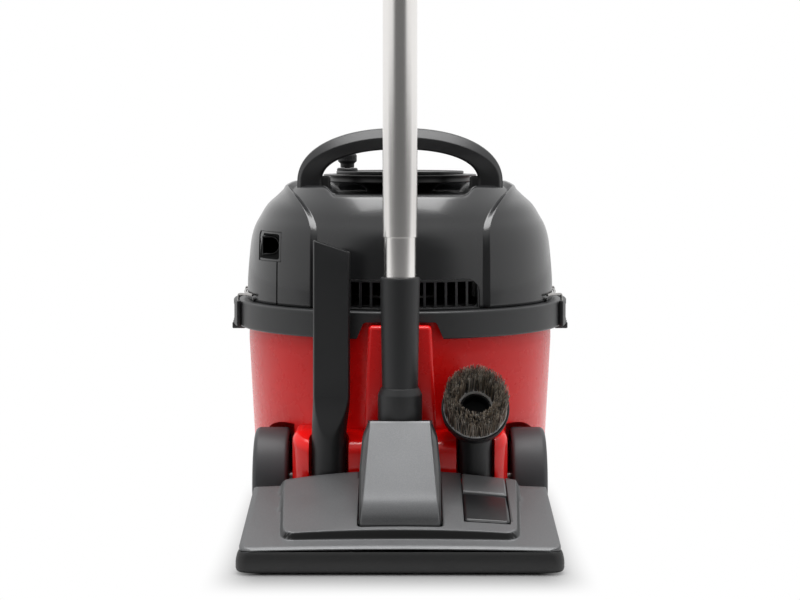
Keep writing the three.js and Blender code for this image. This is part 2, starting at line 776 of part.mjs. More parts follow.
{
  // The cable outlet is an open-fronted cup with a D-shaped hole in its face.
  const [x0, z0] = outletBox.low;
  const [x1, z1] = outletBox.high;
  const wall = 2;
  const cup = box([x0, -beyond, z0], [x1, outletFaceY + 9, z1]).intersect(domeBlank(0.4));
  const room = box([-beyond, -beyond, z0 + wall], [x1 - wall, outletFaceY, z1 - wall]);
  const half = outletBoreRadius;
  const dHole = alongY([[outletX - half, outletZ - half], ...arc(outletX - 1, outletZ, half, -90, 90, 8),
    [outletX - half, outletZ + half]], outletFaceY - 1, outletFaceY + 20);
  add('cable_outlet', cut(cup, room, dHole), blackPlastic);
}

{
  const rings = [];
  const steps = 16;
  const chamfer = 4;
  const section = (outer, inner) => {
    const [ox, oz] = outer;
    const [ix, iz] = inner;
    const at = (share, y) => [ox + (ix - ox) * share, handleY + y, oz + (iz - oz) * share];
    const deep = handleHalfDepth;
    return [at(0, chamfer - deep), at(0, deep - chamfer), at(0.16, deep), at(0.84, deep),
      at(1, deep - chamfer), at(1, chamfer - deep), at(0.84, -deep), at(0.16, -deep)];
  };
  const foot = wellFloor + gap;
  rings.push(section([handleOuterHalf, foot], [handleInnerHalf, foot]));
  for (let i = 0; i <= steps; i++) {
    const t = Math.PI * i / steps;
    rings.push(section(
      [handleOuterHalf * Math.cos(t), handleOuterFoot + handleOuterRise * Math.sin(t)],
      [handleInnerHalf * Math.cos(t), handleInnerFoot + handleInnerRise * Math.sin(t)]));
  }
  rings.push(section([-handleOuterHalf, foot], [-handleInnerHalf, foot]));
  add('carry_handle', lofted(rings), headPlastic);
}

const headDeckTop = domeBase + deckThickness;
{
  const radius = domeRadius - domeWall - gap;
  const plate = cut(drum(radius, domeBase, headDeckTop, 0, 0, 36),
    drum(motorRadius + gap, 0, beyond, 0, 0, 20));
  add('motor_deck', plate, blackPlastic);
}

{
  const neck = motorNeckRadius;
  const eye = 22;
  const flange = headDeckTop + gap;
  const body = turned([[0, motorBottom], [motorRadius, motorBottom], [motorRadius, flange],
    [motorRadius + 8, flange], [motorRadius + 8, flange + 3], [motorRadius, flange + 5],
    [neck, flange + 12], [neck, motorTop], [0, motorTop]], 20);
  const fanRoom = drum(fanRadius + 2, motorBottom + 4, motorBottom + 8 + fanThickness, 0, 0, 16);
  const eyeHole = drum(eye, motorBottom - 1, motorBottom + 5, 0, 0, 12);
  const shaftHole = drum(fanShaftRadius + gap, motorBottom, motorTop - 4, 0, 0, 8);
  add('motor_housing', cut(body, fanRoom, eyeHole, shaftHole), steel);
  const low = motorBottom + 6;
  const fan = joined(drum(fanRadius, low, low + fanThickness, 0, 0, 16),
    drum(fanShaftRadius, low, motorTop - 5, 0, 0, 8));
  add('motor_fan', fan, steel);
}

{
  // The reel stands on a plate whose three legs rest on the motor deck.
  const low = reelBottom - 4.3;
  let frame = drum(reelStandRadius, low, reelBottom - gap, 0, winderY, 20);
  frame = joined(frame, drum(6, reelBottom - 1, reelBottom + 20, 0, winderY, 12));
  for (const angle of [90, 210, 330]) {
    const a = THREE.MathUtils.degToRad(angle);
    const [x, y] = [reelLegOrbit * Math.cos(a), reelLegOrbit * Math.sin(a)];
    frame = joined(frame, drum(6, headDeckTop + gap, low + 4, x, y, 8));
    frame = joined(frame, bar(2.8, [x, y, low + 1.1], [0, winderY, low + 1.1], 8));
  }
  add('reel_stand', cut(frame, drum(beyond, -beyond, headDeckTop + gap)), steel);

  const top = reelBottom + reelHeight;
  const bore = 6 + gap;
  const reel = turned([[bore, reelBottom], [reelRadius, reelBottom], [reelRadius, reelBottom + reelFlange],
    [reelHubRadius, reelBottom + reelFlange], [reelHubRadius, top - reelFlange],
    [reelRadius, top - reelFlange], [reelRadius, top], [bore, top], [bore, reelBottom]], 20, 0, winderY);
  add('cable_reel', reel, blackPlastic);

  const bearing = spindleRadius + gap;
  const housing = turned([[bearing, wellFloor + gap], [pedestalRadius, wellFloor + gap],
    [pedestalRadius + 3, wellFloor + 5], [pedestalRadius + 9, plateBottom - 2.2],
    [pedestalRadius + 21, plateBottom], [plateRadius, plateBottom],
    [plateRadius - 2.4, plateTop - plateRimThickness], [plateRimRadius, plateTop - plateRimThickness],
    [plateRimRadius, plateTop], [bearing, plateTop], [bearing, wellFloor + gap]], 32, 0, winderY);
  add('winder_housing', housing, headPlastic);

  const face = plateTop + gap;
  const crankTop = face + crankThickness;
  const knobLow = crankTop + 3.2 + gap;
  const knobTop = knobLow + knobHeight;
  let crank = joined(drum(crankRadius, face, crankTop, 0, winderY, 32),
    drum(spindleRadius, top + gap, face + 1, 0, winderY, 12));
  crank = joined(crank, drum(knobRadius + 1, face, crankTop + 3.2, -knobOrbit, winderY, 16));
  crank = joined(crank, drum(3, face, knobTop - 4, -knobOrbit, winderY, 8));
  add('winder_crank', crank, headPlastic);

  const knob = turned([[3.3, knobLow], [knobRadius - 3, knobLow], [knobRadius - 2.6, knobLow + 5],
    [knobRadius, knobLow + 7], [knobRadius, knobTop - 1.5], [knobRadius - 1.5, knobTop], [0, knobTop],
    [0, knobTop - 3.7], [3.3, knobTop - 3.7], [3.3, knobLow]], 16, -knobOrbit, winderY);
  add('winder_knob', knob, blackPlastic);
}

{
  const low = wellFloor + gap + switchTravel + 1;
  const half = [switchWidth / 2, switchLength / 2];
  const button = box([switchX - half[0], winderY - half[1], low],
    [switchX + half[0], winderY + half[1], switchTop]);
  add('power_switch', button, redButton);
}

// ---- Side clips ---------------------------------------------------------------------------

for (const [name, side] of [['left', -1], ['right', 1]]) {
  const inner = rimRadius + 0.6;
  const outer = inner + clipThickness;
  const top = rimTop;
  const shell = turned([[inner, clipBottom + 2.5], [outer - 1, clipBottom + 2.5], [outer, clipBottom + 4],
    [outer, top - 1], [outer - 1, top], [inner, top], [inner, clipBottom + 2.5]]);
  const window = side > 0
    ? box([0, -clipHalfLength, 0], [beyond, clipHalfLength, beyond])
    : box([-beyond, -clipHalfLength, 0], [0, clipHalfLength, beyond]);
  const knuckle = cut(drumAlongY(clipKnuckleRadius, -20, 20, side * clipPivotX, clipBottom, 12),
    drumAlongY(1 + gap, -beyond, -16, side * clipPivotX, clipBottom, 8),
    drumAlongY(1 + gap, 16, beyond, side * clipPivotX, clipBottom, 8));
  const xs = [side * (clipPivotX - 1.6), side * (clipPivotX + 1.6)].sort((a, b) => a - b);
  const web = box([xs[0], -19.5, clipBottom + 1], [xs[1], 19.5, clipBottom + 6]);
  add(`clip_${name}`, joined(shell.intersect(window), knuckle, web), blackPlastic);

  // The bail wire runs round the foot of the dome and down into the clip's two ends.
  const r = bailWire / 2;
  const legAngle = 15.4;
  const legRadius = (inner + outer) / 2;
  const path = [];
  path.push([legRadius, -legAngle, rimTop + gap], [legRadius, -legAngle, bailZ - 1.2],
    [legRadius - 1.2, -legAngle, bailZ]);
  const spread = 25;
  path.push([bailRadius + 2, -spread + 5, bailZ], [bailRadius, -spread + 2, bailZ]);
  for (let i = 0; i <= 8; i++) path.push([bailRadius, (i / 4 - 1) * (spread - 3), bailZ]);
  path.push([bailRadius, spread - 2, bailZ], [bailRadius + 2, spread - 5, bailZ]);
  path.push([legRadius - 1.2, legAngle, bailZ], [legRadius, legAngle, bailZ - 1.2],
    [legRadius, legAngle, rimTop + gap]);
  const outline = arc(0, 0, r, 45, 315, 3);
  const points = path.map(([radius, angle, z]) => {
    const a = THREE.MathUtils.degToRad(angle);
    return new THREE.Vector3(side * radius * Math.cos(a), radius * Math.sin(a), z);
  });
  add(`clip_bail_${name}`, wire(points, outline), steel);
}

// A wire of a small section through chosen points.
function wire(points, outline) {
  const rings = points.map((point, i) => {
    const before = points[Math.max(i - 1, 0)];
    const after = points[Math.min(i + 1, points.length - 1)];
    const along = after.clone().sub(before).normalize();
    const up = Math.abs(along.z) > 0.9 ? new THREE.Vector3(0, 1, 0) : new THREE.Vector3(0, 0, 1);
    const across = along.clone().cross(up).normalize();
    const over = across.clone().cross(along);
    return outline.map(([u, v]) => {
      const at = point.clone().addScaledVector(across, u).addScaledVector(over, v);
      return [at.x, at.y, at.z];
    });
  });
  return lofted(rings);
}

// ---- Floor tool ---------------------------------------------------------------------------

const floorTool = new THREE.Group();
machine.add(floorTool);

// The tool's outline from above, shrunk all round by a wall.
function toolOutline(shrink) {
  const front = toolFront + shrink;
  const rear = toolRear - shrink;
  const r = toolCorner;
  const half = toolFrontHalf - shrink;
  const back = toolRearHalf - shrink;
  return [...arc(-half + r, front + r, r, 180, 270, 4), ...arc(half - r, front + r, r, 270, 360, 4),
    [back, rear], [-back, rear]];
}

function panelOutline(shrink) {
  const front = panelFront + shrink;
  const rear = toolRear - shrink;
  const r = toolCorner + 1;
  const half = panelFrontHalf - shrink;
  const back = panelRearHalf - shrink;
  return [...arc(-half + r, front + r, r, 180, 270, 4), ...arc(half - r, front + r, r, 270, 360, 4),
    [back, rear], [-back, rear]];
}

// Everything under a crowned slope that runs from the front to the rear of the tool.
function under(frontY, frontZ, rearZ, drop, frontCrown, rearCrown) {
  const rings = [];
  for (let i = 0; i <= crownSteps; i++) {
    const x = (toolFrontHalf + 5) * (2 * i / crownSteps - 1);
    const at = (y) => {
      const share = (y - frontY) / (toolRear - frontY);
      const crown = frontCrown + (rearCrown - frontCrown) * share;
      return frontZ + (rearZ - frontZ) * share - drop - crown * (x / toolFrontHalf) ** 2;
    };
    const [front, rear] = [toolFront - 20, toolRear + 20];
    rings.push([[x, front, at(front)], [x, front, -50], [x, rear, -50], [x, rear, at(rear)]]);
  }
  return lofted(rings);
}

const underDeck = (drop) => under(toolFront, soleTop + 1, deckRearTop, drop, 0.3, deckCrown);
const underPanel = (drop) =>
  under(panelFront, panelFrontTop, panelRearTop, drop, panelFrontCrown, panelRearCrown);

// How much lower the panel is at a place than in its middle.
function panelDrop(x, y) {
  const share = (y - panelFront) / (toolRear - panelFront);
  return (panelFrontCrown + (panelRearCrown - panelFrontCrown) * share) * (x / toolFrontHalf) ** 2;
}

const slotFront = neckPivotY - drumRadius - 5.7;

// Room for the neck: a round well for its drum, open upwards and to the rear.
function neckRoom() {
  return joined(
    drumAlongX(drumRadius + 1, -neckSlotHalf, neckSlotHalf, neckPivotY, neckPivotZ, 24),
    box([-neckSlotHalf, neckPivotY, neckPivotZ - drumRadius - 1], [neckSlotHalf, beyond, beyond]),
    box([-neckSlotHalf, slotFront, neckPivotZ - 10], [neckSlotHalf, neckPivotY + 1, beyond]),
  );
}

function pedalRoom(grow, low) {
  return box([pedalLeft - grow, pedalFront - grow, low], [pedalRight + grow, beyond, beyond]);
}

const strips = [
  { name: 'brush_strip_front', x: [-stripReach, stripReach], y: toolFront + 12 },
  { name: 'brush_strip_rear_left', x: [-stripReach, -neckSlotHalf - 4], y: neckPivotY + 12 },
  { name: 'brush_strip_rear_right', x: [neckSlotHalf + 4, stripReach], y: neckPivotY + 12 },
];

const soleLevel = soleBottom + soleThickness;
const slotY = [toolFront + slotRoomFront, toolFront + slotRoomFront + slotRoomWidth];

function stripGroove(strip) {
  const half = stripThickness / 2 + gap;
  return box([strip.x[0] - gap, strip.y - half, -1], [strip.x[1] + gap, strip.y + half, soleLevel + gap]);
}

function wheelRoom(side) {
  const half = toolWheelWidth / 2;
  const x = side * toolWheelX;
  return joined(
    box([x - half - 1, toolWheelY - toolWheelRadius - 1, -1],
      [x + half + 1, toolWheelY + toolWheelRadius + 1, toolWheelRadius * 2 + 1.5]),
    box([x - half - 5, toolWheelY - 2.3, -1], [x + half + 5, toolWheelY + 2.3,
      toolWheelRadius + 2 + gap]),
  );
}

{
  // The bumper bar, the sole plate and the chassis over them: the suction slot is the space
  // between the bar and the plate, open at both sides of the tool.
  const ring = (shrink, z) => toolOutline(shrink).map(([x, y]) => [x, y, z]);
  const outside = lofted([ring(2.5, soleBottom), ring(0, soleBottom + 3.5), ring(0, soleLevel),
    ring(toolFlare, soleTop)]);
  const ahead = box([-beyond, -beyond, -beyond], [beyond, slotY[0], beyond]);
  add('tool_bumper', cut(outside.intersect(ahead), stripGroove(strips[0])), blackPlastic, floorTool);

  const behind = box([-beyond, slotY[1], -beyond], [beyond, beyond, soleLevel]);
  let sole = cut(outside.intersect(behind), neckRoom());
  sole = cut(sole, box([-26, slotY[1] - 1, -1], [26, neckPivotY + 12, beyond]));
  sole = cut(sole, stripGroove(strips[1]), stripGroove(strips[2]), wheelRoom(-1), wheelRoom(1));
  add('tool_sole', sole, blackPlastic, floorTool);

  const over = box([-beyond, slotY[0] + gap, soleLevel + gap], [beyond, beyond, beyond]);
  const chassis = cut(outside.intersect(over), neckRoom(), wheelRoom(-1), wheelRoom(1));
  add('tool_chassis', chassis, blackPlastic, floorTool);
}

{
  const low = soleTop + gap;
  const floorCut = box([-beyond, -beyond, -beyond], [beyond, beyond, low]);
  const deckSkin = raised(toolOutline(toolFlare), low, beyond).intersect(underDeck(0));
  const panel = raised(panelOutline(0), low, beyond).intersect(underPanel(0));
  const hollow = raised(toolOutline(toolFlare + 3.5), low - 20, beyond).intersect(underDeck(3.2));
  const panelHollow = raised(panelOutline(4), low - 20, beyond).intersect(underPanel(3.2));
  const core = box([-neckSlotHalf - 7, -beyond, -beyond], [neckSlotHalf + 7, beyond, beyond]);
  const pedalWall = pedalRoom(2.6, -beyond);
  let deck = cut(joined(deckSkin, panel), cut(joined(hollow, panelHollow), core, pedalWall));
  deck = cut(deck, floorCut, neckRoom(), pedalRoom(0.6, pedalFloor));
  for (const side of [-1, 1]) {
    const xs = [side * (neckSlotHalf - 2), side * (neckSlotHalf + trunnionLength)];
    xs.sort((a, b) => a - b);
    deck = cut(deck, drumAlongX(trunnionRadius + gap, ...xs, neckPivotY, neckPivotZ, 12));
  }
  add('tool_deck', deck, greyPlastic, floorTool);
}

{
  // The pedal rocks on the wall under its step: a light pad to the rear, a dark one in front.
  const low = pedalFloor + 1.6;
  const front = pedalFront + 1;
  const rear = toolRear - 2.2;
  const top = [[front, 42.5], [front + 4, 45.5], [pedalStep - 1, 59.5], [pedalStep, 61.5],
    [rear, panelRearTop - 1]];
  const foot = [[rear, low + 8], [pedalStep + 3, low + 2], [pedalStep, pedalFloor + gap],
    [pedalStep - 3, low + 2], [front, low + 0.8]];
  const at = (x) => [...top.map(([y, z]) => [x, y, z - panelDrop(x, y)]),
    ...foot.map(([y, z]) => [x, y, z])];
  add('tool_pedal', lofted([at(pedalLeft), at((pedalLeft + pedalRight) / 2), at(pedalRight)]),
    blackPlastic, floorTool);
}

for (const strip of strips) {
  const half = stripThickness / 2;
  add(strip.name, box([strip.x[0], strip.y - half, stripLow],
    [strip.x[1], strip.y + half, stripLow + stripHeight]), hair, floorTool);
}

for (const [name, side] of [['left', -1], ['right', 1]]) {
  const half = toolWheelWidth / 2;
  const profile = [[0, -half - 4], [2, -half - 4], [2, -half], [toolWheelRadius - 1, -half],
    [toolWheelRadius, -half + 1], [toolWheelRadius, half - 1], [toolWheelRadius - 1, half],
    [2, half], [2, half + 4], [0, half + 4]];
  const wheel = turnedAlongX(profile.map(([r, x]) => [r, x + side * toolWheelX]), toolWheelY,
    toolWheelRadius, 12);
  add(`tool_wheel_${name}`, wheel, rubber, floorTool);
}

// ---- Neck, collar and cuff ----------------------------------------------------------------

// Front line of the neck from its nose to its top, as [y, z].
const neckFace = [[neckNoseFront, neckNoseZ - 4], [neckNoseFront + 0.3, neckNoseZ + 3],
  [neckNoseFront + 2.6, neckNoseZ + 10], [neckNoseFront + 8, neckNoseZ + 18.5],
  [neckNoseFront + 17, neckNoseZ + 28], [neckTopFront, neckTopZ + 3]];

function neckHalfAt(z) {
  const share = (z - neckNoseZ) / (neckTopZ - neckNoseZ);
  return neckNoseHalf + (neckTopHalf - neckNoseHalf) * THREE.MathUtils.clamp(share, 0, 1);
}

{
  const cover = [];
  const shell = [...neckFace.map(([y, z]) => [y, z, 0]),
    ...neckFace.map(([y, z]) => [y + coverThickness * 0.7, z - coverThickness * 0.7, 1]).reverse()];
  const left = shell.map(([y, z]) => [-neckHalfAt(z) + 1.2, y, z]);
  const right = shell.map(([y, z]) => [neckHalfAt(z) - 1.2, y, z]);
  // A strip of quads along the face, each a small closed block joined to the next.
  for (let i = 0; i + 1 < neckFace.length; i++) {
    const j = shell.length - 1 - i;
    const quad = (side, k) => [side[k], side[k + 1], side[j - 1], side[j]];
    cover.push(lofted([quad(left, i), quad(right, i)]));
  }
  add('neck_cover', joined(...cover), coverPlastic, floorTool);
}

{
  const clear = coverThickness + gap + 0.4;
  const rings = [];
  const rearAt = (z) => {
    const share = (z - neckPivotZ) / (neckTopZ - neckPivotZ);
    return neckPivotY + drumRadius - 2 + (wandY + collarRadius - 1 - neckPivotY - drumRadius + 2) * share;
  };
  const face = neckFace.slice(1).map(([y, z]) => [y + clear * 0.7, z - clear * 0.7]);
  face[face.length - 1] = [neckTopFront + clear * 0.8, neckTopZ];
  for (const [y, z] of face) {
    const half = neckHalfAt(z);
    const rear = rearAt(z);
    const round = Math.min(collarRadius - 1, half - 4);
    const side = Math.max(y + 4, rear - round - 2);
    rings.push([[-half, y, z], [half, y, z], [half, side, z],
      ...arc(0, rear - round, round, 0, 180, 5).map(([px, py]) => [px, py, z]), [-half, side, z]]);
  }
  let neck = joined(lofted(rings),
    drumAlongX(drumRadius, -neckNoseHalf, neckNoseHalf, neckPivotY, neckPivotZ, 20));
  const reach = neckSlotHalf + trunnionLength - gap;
  neck = joined(neck, drumAlongX(trunnionRadius, -reach, reach, neckPivotY, neckPivotZ, 12));
  neck = joined(neck, drum(collarRadius - 4.5, neckTopZ - 4, neckTopZ + 12, 0, wandY, 16));
  neck = cut(neck, bar(ductRadius, [0, neckPivotY, neckPivotZ], [0, wandY, neckTopZ - 10], 12),
    drum(ductRadius, neckTopZ - 14, beyond, 0, wandY, 12),
    box([-20, neckPivotY - 12, 0], [20, neckPivotY + 12, neckPivotZ]));
  add('neck', neck, blackPlastic, floorTool);

  const low = neckTopZ + gap;
  const top = neckTopZ + collarHeight;
  const inner = collarRadius - 4.5 + gap;
  const collar = turned([[inner, low], [collarRadius, low], [collarRadius, top - 6],
    [collarRadius - 1.2, top - 2], [cuffBottomRadius + gap, top], [cuffBottomRadius + gap, top - 18],
    [inner, top - 18.3], [inner, low]], 20, 0, wandY);
  add('swivel_collar', collar, blackPlastic, floorTool);

  const bore = swageRadius + gap;
  const cuffLow = top - 17.7;
  const cuff = turned([[ductRadius, cuffLow], [cuffBottomRadius, cuffLow], [cuffBottomRadius, top + 2],
    [cuffTopRadius, cuffTop - 4], [cuffTopRadius - 0.8, cuffTop], [bore, cuffTop],
    [bore, wandBottom - gap], [ductRadius, wandBottom - gap], [ductRadius, cuffLow]], 20, 0, wandY);
  add('wand_cuff', cuff, blackPlastic, floorTool);
}

// ---- Wand ---------------------------------------------------------------------------------

{
  const shoulder = 1.2;
  const inner = swageRadius - wandWall;
  const lower = turned([[inner, wandBottom], [swageRadius, wandBottom], [swageRadius, swageShoulder],
    [wandRadius, swageShoulder + shoulder], [wandRadius, wandJoint], [wandRadius - 0.95, wandJoint],
    [wandRadius - 0.95, wandJoint - swageLength - 2], [inner, wandJoint - swageLength - 4],
    [inner, wandBottom]], 24, 0, wandY);
  add('wand_lower', lower, steel, floorTool);

  const upperLow = wandJoint - swageLength;
  const top = upperLow + wandSectionLength;
  const upper = turned([[inner, upperLow], [swageRadius, upperLow], [swageRadius, wandJoint + gap],
    [wandRadius, wandJoint + gap], [wandRadius, top], [wandRadius - wandWall, top],
    [wandRadius - wandWall, wandJoint + 8], [inner, wandJoint + 4], [inner, upperLow]], 24, 0, wandY);
  add('wand_upper', upper, steel, floorTool);
}

// ---- Hand tools ---------------------------------------------------------------------------

function roundedRing(width, depth, x, y, z, slant = 0) {
  const ring = [];
  const corner = Math.min(width, depth) / 2;
  for (let i = 0; i < 16; i++) {
    const a = 2 * Math.PI * (i + 0.5) / 16;
    const px = Math.cos(a) * corner + Math.sign(Math.cos(a)) * (width / 2 - corner);
    const py = Math.sin(a) * corner + Math.sign(Math.sin(a)) * (depth / 2 - corner);
    ring.push([x + px, y + py, z + slant * px / width]);
  }
  return ring;
}

{
  const tip = (creviceTipLeft + creviceTipRight) / 2;
  const slant = creviceTipRight - creviceTipLeft;
  const stem = creviceStemRadius * 2;
  const skin = (wall) => {
    const at = (width, depth, z, lean = 0) =>
      roundedRing(width - 2 * wall, depth - 2 * wall, creviceX, toolY, z, lean);
    const bore = wall > 0 ? creviceBoreRadius * 2 + 2 * wall : stem;
    const extra = wall > 0 ? 3 : 0;
    return lofted([at(bore, bore, pegLedge + gap - extra), at(bore, bore, creviceBlend),
      at(creviceBladeWidth - 0.5, creviceBladeDepth + 7, (creviceBlend + creviceBladeStart) / 2 + 6),
      at(creviceBladeWidth, creviceBladeDepth, creviceBladeStart),
      at(creviceBladeWidth, creviceBladeDepth, tip + extra, slant)]);
  };
  add('crevice_tool', cut(skin(0), skin(2.2)), blackPlastic);
}

// The dusting brush is built face up about the origin; this frame turns it onto the stem.
const brushFrame = new THREE.Matrix4().makeRotationX(Math.PI / 2 - THREE.MathUtils.degToRad(brushTilt));
brushFrame.setPosition(brushX, brushFaceY, brushFaceZ);

function brushTurned(profile, segments) {
  const points = profile.map(([r, z]) => new THREE.Vector2(r, z));
  const geometry = new THREE.LatheGeometry(points, segments).rotateX(Math.PI / 2);
  return solid(geometry.applyMatrix4(brushFrame));
}

{
  const r = brushRimRadius;
  const inner = brushInnerRadius - 2.5;
  const depth = brushHeadDepth;
  const head = brushTurned([[0, -depth], [22, -depth], [r - 1, -depth + 9], [r, -depth + 12], [r, 0],
    [r - 2, 0], [r - 2, -bristleBacking - gap], [inner, -bristleBacking - gap],
    [inner, -depth + 3], [0, -depth + 3]], 20);
  const top = brushFaceZ - 12;
  const stem = drum(brushStemRadius, pegLedge + gap, top, brushX, toolY, 16);
  const bore = drum(pegRadius + 0.5, pegLedge - 3, pegLedge + pegHeight + 3, brushX, toolY, 14);
  const duct = drum(pegRadius - 2, pegLedge, top - 6, brushX, toolY, 12);
  const inside = brushTurned([[0, -depth + 3], [inner, -depth + 3], [inner, 20], [0, 20]], 20);
  add('brush_holder', cut(joined(head, cut(stem, inside)), bore, duct), blackPlastic);
}

// Points on a quarter circle about the origin, kept a small angle off its ends.
function polarArc(radius, start, margin) {
  const points = [];
  for (let i = 0; i <= 5; i++) {
    const a = start + margin + (Math.PI / 2 - 2 * margin) * i / 5;
    points.push([radius * Math.cos(a), radius * Math.sin(a)]);
  }
  return points;
}

{
  // Rows of three-sided strands, tapering to a point, stand in a ring of backing.
  const positions = [];
  const strand = (angle, radius, length) => {
    const foot = new THREE.Vector3(radius * Math.cos(angle), radius * Math.sin(angle), 0);
    const tip = foot.clone().multiplyScalar(bristleFlare).setZ(length);
    const corners = [0, 1, 2].map((k) => {
      const a = angle + k * 2 * Math.PI / 3;
      return [foot.x + bristleRadius * Math.cos(a), foot.y + bristleRadius * Math.sin(a), -1];
    });
    positions.push(...corners[0], ...corners[2], ...corners[1]);
    for (let k = 0; k < 3; k++) {
      positions.push(...corners[k], ...corners[(k + 1) % 3], tip.x, tip.y, tip.z);
    }
  };
  const outer = brushRimRadius - 3.6;
  const inner = brushInnerRadius + 1;
  const edge = (brushRimRadius - 2) * Math.cos(Math.PI / 20) - gap;
  const core = brushInnerRadius - 2.5;
  const sector = Math.PI / 2;
  for (const [index, name] of ['right', 'upper', 'left', 'lower'].entries()) {
    positions.length = 0;
    const start = (index - 0.5) * sector;
    for (let row = 0; row < bristleRows; row++) {
      const radius = inner + row * (outer - inner) / (bristleRows - 1);
      const count = Math.round(sector * radius / bristleSpacing);
      for (let i = 0; i < count; i++) {
        const wave = Math.sin((index * count + i) * 2.4 + row * 1.7);
        strand(start + sector * (i + 0.5) / count, radius, bristleLength + 1.3 * wave);
      }
    }
    const strands = new THREE.BufferGeometry();
    strands.setAttribute('position', new THREE.Float32BufferAttribute(positions, 3));
    const backing = raised([...polarArc(edge, start, 0.01), ...polarArc(core, start, 0.01).reverse()],
      -bristleBacking, 0);
    const bristles = add(`brush_bristles_${name}`, joined(backing, solid(strands)), hair);
    bristles.applyMatrix4(brushFrame);
  }
}

// The whole object, with its origin on the floor under the middle of its length.
const object = new THREE.Group();
machine.position.y = bodyToObject;
object.add(machine);

export default object;
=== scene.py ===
import bmesh
import bpy
import math
import random
from mathutils import Matrix, Vector, noise


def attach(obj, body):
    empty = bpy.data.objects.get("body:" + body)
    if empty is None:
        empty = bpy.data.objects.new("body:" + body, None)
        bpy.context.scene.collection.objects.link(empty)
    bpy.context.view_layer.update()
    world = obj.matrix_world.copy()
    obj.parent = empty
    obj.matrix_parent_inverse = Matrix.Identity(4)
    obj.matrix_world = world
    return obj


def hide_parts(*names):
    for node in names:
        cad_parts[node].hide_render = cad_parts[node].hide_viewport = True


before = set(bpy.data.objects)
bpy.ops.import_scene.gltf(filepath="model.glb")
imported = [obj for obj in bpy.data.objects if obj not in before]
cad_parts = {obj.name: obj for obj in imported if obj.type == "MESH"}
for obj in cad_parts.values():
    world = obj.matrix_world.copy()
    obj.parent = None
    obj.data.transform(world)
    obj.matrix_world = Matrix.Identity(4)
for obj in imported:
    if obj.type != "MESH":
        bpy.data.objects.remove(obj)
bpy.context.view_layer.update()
random.seed(11)
print("frame loaded")

# Lengths are millimetres from the floor under the tub's centre; the frame's origin is 69 mm behind it.
frameShift = 69


# A mesh from points and faces, with doubled points merged and its faces turned outwards.
def toObject(name, points, faces):
    mesh = bpy.data.meshes.new(name)
    mesh.from_pydata([(x / 1000, (y + frameShift) / 1000, z / 1000) for x, y, z in points], [], faces)
    made = bmesh.new()
    made.from_mesh(mesh)
    bmesh.ops.remove_doubles(made, verts=made.verts, dist=1e-6)
    bmesh.ops.recalc_face_normals(made, faces=made.faces)
    made.to_mesh(mesh)
    made.free()
    obj = bpy.data.objects.new(name, mesh)
    bpy.context.scene.collection.objects.link(obj)
    return obj


# Rows of points joined into a skin; closed rows wrap round, and ends are capped with one face each.
def skinned(name, rows, wrap=True, capped=True):
    count = len(rows[0])
    points = [p for row in rows for p in row]
    faces = []
    for i in range(len(rows) - 1):
        for j in range(count if wrap else count - 1):
            k = (j + 1) % count
            faces.append((i * count + j, i * count + k, (i + 1) * count + k, (i + 1) * count + j))
    if capped:
        faces.append(tuple(range(count)))
        faces.append(tuple(range((len(rows) - 1) * count, len(rows) * count)))
    return toObject(name, points, faces)


# A profile of (radius, height) spun about an axis. A closed profile ends where it starts.
def spun(name, profile, steps=96, centre=(0, 0), along="z"):
    points = []
    for i in range(steps):
        a = 2 * math.pi * i / steps
        for r, h in profile:
            u, v = centre[0] + r * math.cos(a), centre[1] + r * math.sin(a)
            points.append({"z": (u, v, h), "x": (h, u, v), "y": (u, h, v)}[along])
    count = len(profile)
    faces = []
    for i in range(steps):
        n = (i + 1) % steps
        for j in range(count - 1):
            faces.append((i * count + j, n * count + j, n * count + j + 1, i * count + j + 1))
    return toObject(name, points, faces)


def rod(name, radius, low, high, steps=48, centre=(0, 0), along="z"):
    return spun(name, [(0, low), (radius, low), (radius, high), (0, high)], steps, centre, along)


# Corners of (a, b, radius) as a line with its corners rounded.
def rounded(corners, steps=5, loop=False):
    line = []
    count = len(corners)
    for i, corner in enumerate(corners):
        a, b = corner[0], corner[1]
        radius = corner[2] if len(corner) > 2 else 0
        if not radius or (not loop and i in (0, count - 1)):
            line.append((a, b))
            continue
        here = Vector((a, b))
        before = Vector(corners[i - 1][:2]) - here
        after = Vector(corners[(i + 1) % count][:2]) - here
        angle = before.angle(after)
        if angle > math.pi - 0.02:
            line.append((a, b))
            continue
        reach = min(radius / math.tan(angle / 2), before.length * 0.49, after.length * 0.49)
        start, end = here + before.normalized() * reach, here + after.normalized() * reach
        bulge = reach * math.tan(angle / 2)
        middle = here + (before.normalized() + after.normalized()).normalized() * (bulge / math.sin(angle / 2))
        first, last = start - middle, end - middle
        turn = first.angle_signed(last)
        for k in range(steps + 1):
            spin = Matrix.Rotation(-turn * k / steps, 2)
            line.append(tuple(middle + spin @ first))
    return line


def closedLine(corners, steps=5):
    line = rounded(corners, steps, loop=True)
    return line + [line[0]]


# A rectangle's outline with its corners rounded.
def boxLine(low, high, radius, steps):
    corners = [low, (high[0], low[1]), high, (low[0], high[1])]
    return rounded([(a, b, radius) for a, b in corners], steps, loop=True)


# Evenly spaced points on a smooth curve through the given ones.
def smoothLine(points, count):
    out = []
    last = len(points) - 1
    for i in range(count):
        t = i / (count - 1) * last
        k = min(int(t), last - 1)
        f = t - k
        p = [points[max(k - 1, 0)], points[k], points[k + 1], points[min(k + 2, last)]]
        at = []
        for a, b, c, d in zip(*p):
            at.append(0.5 * (2 * b + (c - a) * f + (2 * a - 5 * b + 4 * c - d) * f * f
                             + (3 * b - a - 3 * c + d) * f ** 3))
        out.append(tuple(at))
    return out


